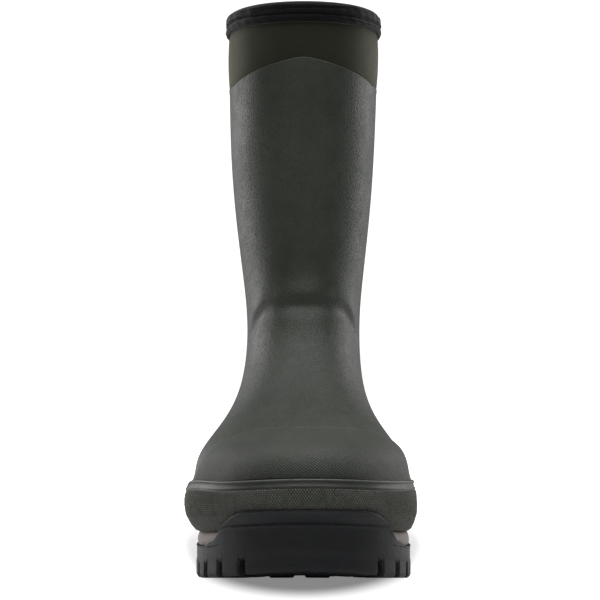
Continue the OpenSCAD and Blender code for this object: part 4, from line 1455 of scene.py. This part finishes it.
class BOOT_OT_hidden(bpy.types.Operator):
    """Finishes of the CAD pieces that stay: shank, board, foil and stiffeners"""
    bl_idname = "boot.finish_hidden"
    bl_label = "Hidden parts"

    def execute(self, context):
        finishes = {
            "shank": metal("shank_steel", (.55, .55, .56), .35),
            "thermal_foil": metal("thermal_foil", (.80, .80, .82), .25, brushed=False),
            "insole_board": board("fibre_board", (.32, .22, .13), (700, 1400, 700)),
            "toe_puff": board("stiff_felt", (.55, .52, .44)),
            "heel_counter": board("stiff_felt_heel", (.55, .52, .44)),
        }
        for node, material in finishes.items():
            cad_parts[node].material_slots[0].material = material
        return {"FINISHED"}


class BOOT_OT_stage(bpy.types.Operator):
    """Floor, lights, world and camera"""
    bl_idname = "boot.make_stage"
    bl_label = "Studio"

    def execute(self, context):
        boot, studio = form(), context.scene.boot_studio
        leg_x, leg_y = -boot.origin[:2] * MM
        scene = context.scene
        scene.view_settings.view_transform = "Standard"
        scene.view_settings.look = "None"

        mesh = bpy.data.meshes.new("floor")
        size = 30
        mesh.from_pydata([(-size, -size, 0), (size, -size, 0), (size, size, 0), (-size, size, 0)],
                         [], [(0, 1, 2, 3)])
        glowing_floor, tree, surface, place = start_material("white_floor", (.80, .80, .80), .95,
                                                     Specular_IOR_Level=.0)
        # The floor glows to the camera alone, painted light that keeps it white, and glows far less
        # in an oval under the boot, so the shadow shows only there: the oval's rim is a painted
        # shadow edge.
        narrow = 3.0
        squeezed = add(tree, "VectorMath", {"operation": "MULTIPLY"}, _0=place,
                       _1=(narrow, 1.0, 1.0)).outputs[0]
        far = add(tree, "VectorMath", {"operation": "DISTANCE"}, _0=squeezed,
                  _1=(narrow * leg_x, leg_y + .05, 0)).outputs["Value"]
        seen = add(tree, "LightPath").outputs["Is Camera Ray"]
        tree.links.new(sums(tree, "MULTIPLY", seen, ramp(tree, far, .222, .268, .24, 1.0)),
                       surface.inputs["Emission Strength"])
        surface.inputs["Emission Color"].default_value = (1, 1, 1, 1)
        mesh.materials.append(glowing_floor)
        floor = bpy.data.objects.new("floor", mesh)
        scene.collection.objects.link(floor)

        world = bpy.data.worlds.new("studio_white")
        world.use_nodes = True
        scene.world = world
        tree = world.node_tree
        background = tree.nodes["Background"]
        seen = add(tree, "LightPath").outputs["Is Camera Ray"]
        strength = add(tree, "MapRange", None, _0=seen, _1=0.0, _2=1.0, _3=.10, _4=1.2)
        tree.links.new(strength.outputs[0], background.inputs["Strength"])
        background.inputs["Color"].default_value = (1, 1, 1, 1)

        def softbox(name, spot, aim, width, tall, watts):
            """A rectangular lamp at spot, turned to aim."""
            light = bpy.data.lights.new(name, "AREA")
            light.shape = "RECTANGLE"
            light.size, light.size_y = width, tall
            light.energy = watts
            lamp = bpy.data.objects.new(name, light)
            lamp.location = spot
            lamp.rotation_euler = (Vector(aim) - Vector(spot)).to_track_quat("-Z", "Y").to_euler()
            scene.collection.objects.link(lamp)

        middle = (leg_x, leg_y - .04, .17)
        for side, name, share in ((-1, "side_left", 1), (1, "side_right", .8)):
            softbox(name, (leg_x + side * .75, leg_y + .52, .34), (leg_x, leg_y, .24), .5, .6,
                    studio.side_power * share)
        softbox("top_box", (leg_x, leg_y - .1, 1.5), (leg_x, leg_y - .1, 0), 1.6, 1.6,
                studio.top_power)
        softbox("front_box", (leg_x, leg_y - 1.5, 1.0), middle, .9, .6, studio.front_power)

        data = bpy.data.cameras.new("camera")
        data.lens = studio.lens
        data.sensor_width = 36
        data.shift_y = .0035
        camera = bpy.data.objects.new("camera", data)
        camera.location = (leg_x - .0018, leg_y - studio.distance, studio.eye)
        camera.rotation_euler = (np.pi / 2, 0, 0)
        scene.collection.objects.link(camera)
        scene.camera = camera
        return {"FINISHED"}


OPERATORS = [BOOT_OT_stage, BOOT_OT_upper, BOOT_OT_inner, BOOT_OT_patches, BOOT_OT_rand,
             BOOT_OT_midsole, BOOT_OT_outsole, BOOT_OT_footbed, BOOT_OT_collar, BOOT_OT_binding,
             BOOT_OT_hidden]


class BOOT_PT_panel(bpy.types.Panel):
    """The boot's pieces, in the order they are made"""
    bl_idname = "BOOT_PT_panel"
    bl_label = "Insulated boot"
    bl_space_type = "VIEW_3D"
    bl_region_type = "UI"
    bl_category = "Boot"

    def draw(self, context):
        for operator in OPERATORS:
            self.layout.operator(operator.bl_idname)
        for group in (context.scene.boot_sizes, context.scene.boot_colours,
                      context.scene.boot_studio):
            box = self.layout.box()
            for prop in group.bl_rna.properties:
                if prop.identifier not in ("rna_type", "name"):
                    box.prop(group, prop.identifier)


CLASSES = [BootSizes, BootColours, Studio, *OPERATORS, BOOT_PT_panel]


def register():
    for cls in CLASSES:
        bpy.utils.register_class(cls)
    bpy.types.Scene.boot_sizes = PointerProperty(type=BootSizes)
    bpy.types.Scene.boot_colours = PointerProperty(type=BootColours)
    bpy.types.Scene.boot_studio = PointerProperty(type=Studio)


def unregister():
    for name in ("boot_sizes", "boot_colours", "boot_studio"):
        delattr(bpy.types.Scene, name)
    for cls in reversed(CLASSES):
        bpy.utils.unregister_class(cls)


def main():
    """Makes the whole scene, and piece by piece."""
    register()
    for operator in OPERATORS:
        area, name = operator.bl_idname.split(".")
        getattr(getattr(bpy.ops, area), name)()
    bpy.context.view_layer.update()


if __name__ == "__main__":
    main()
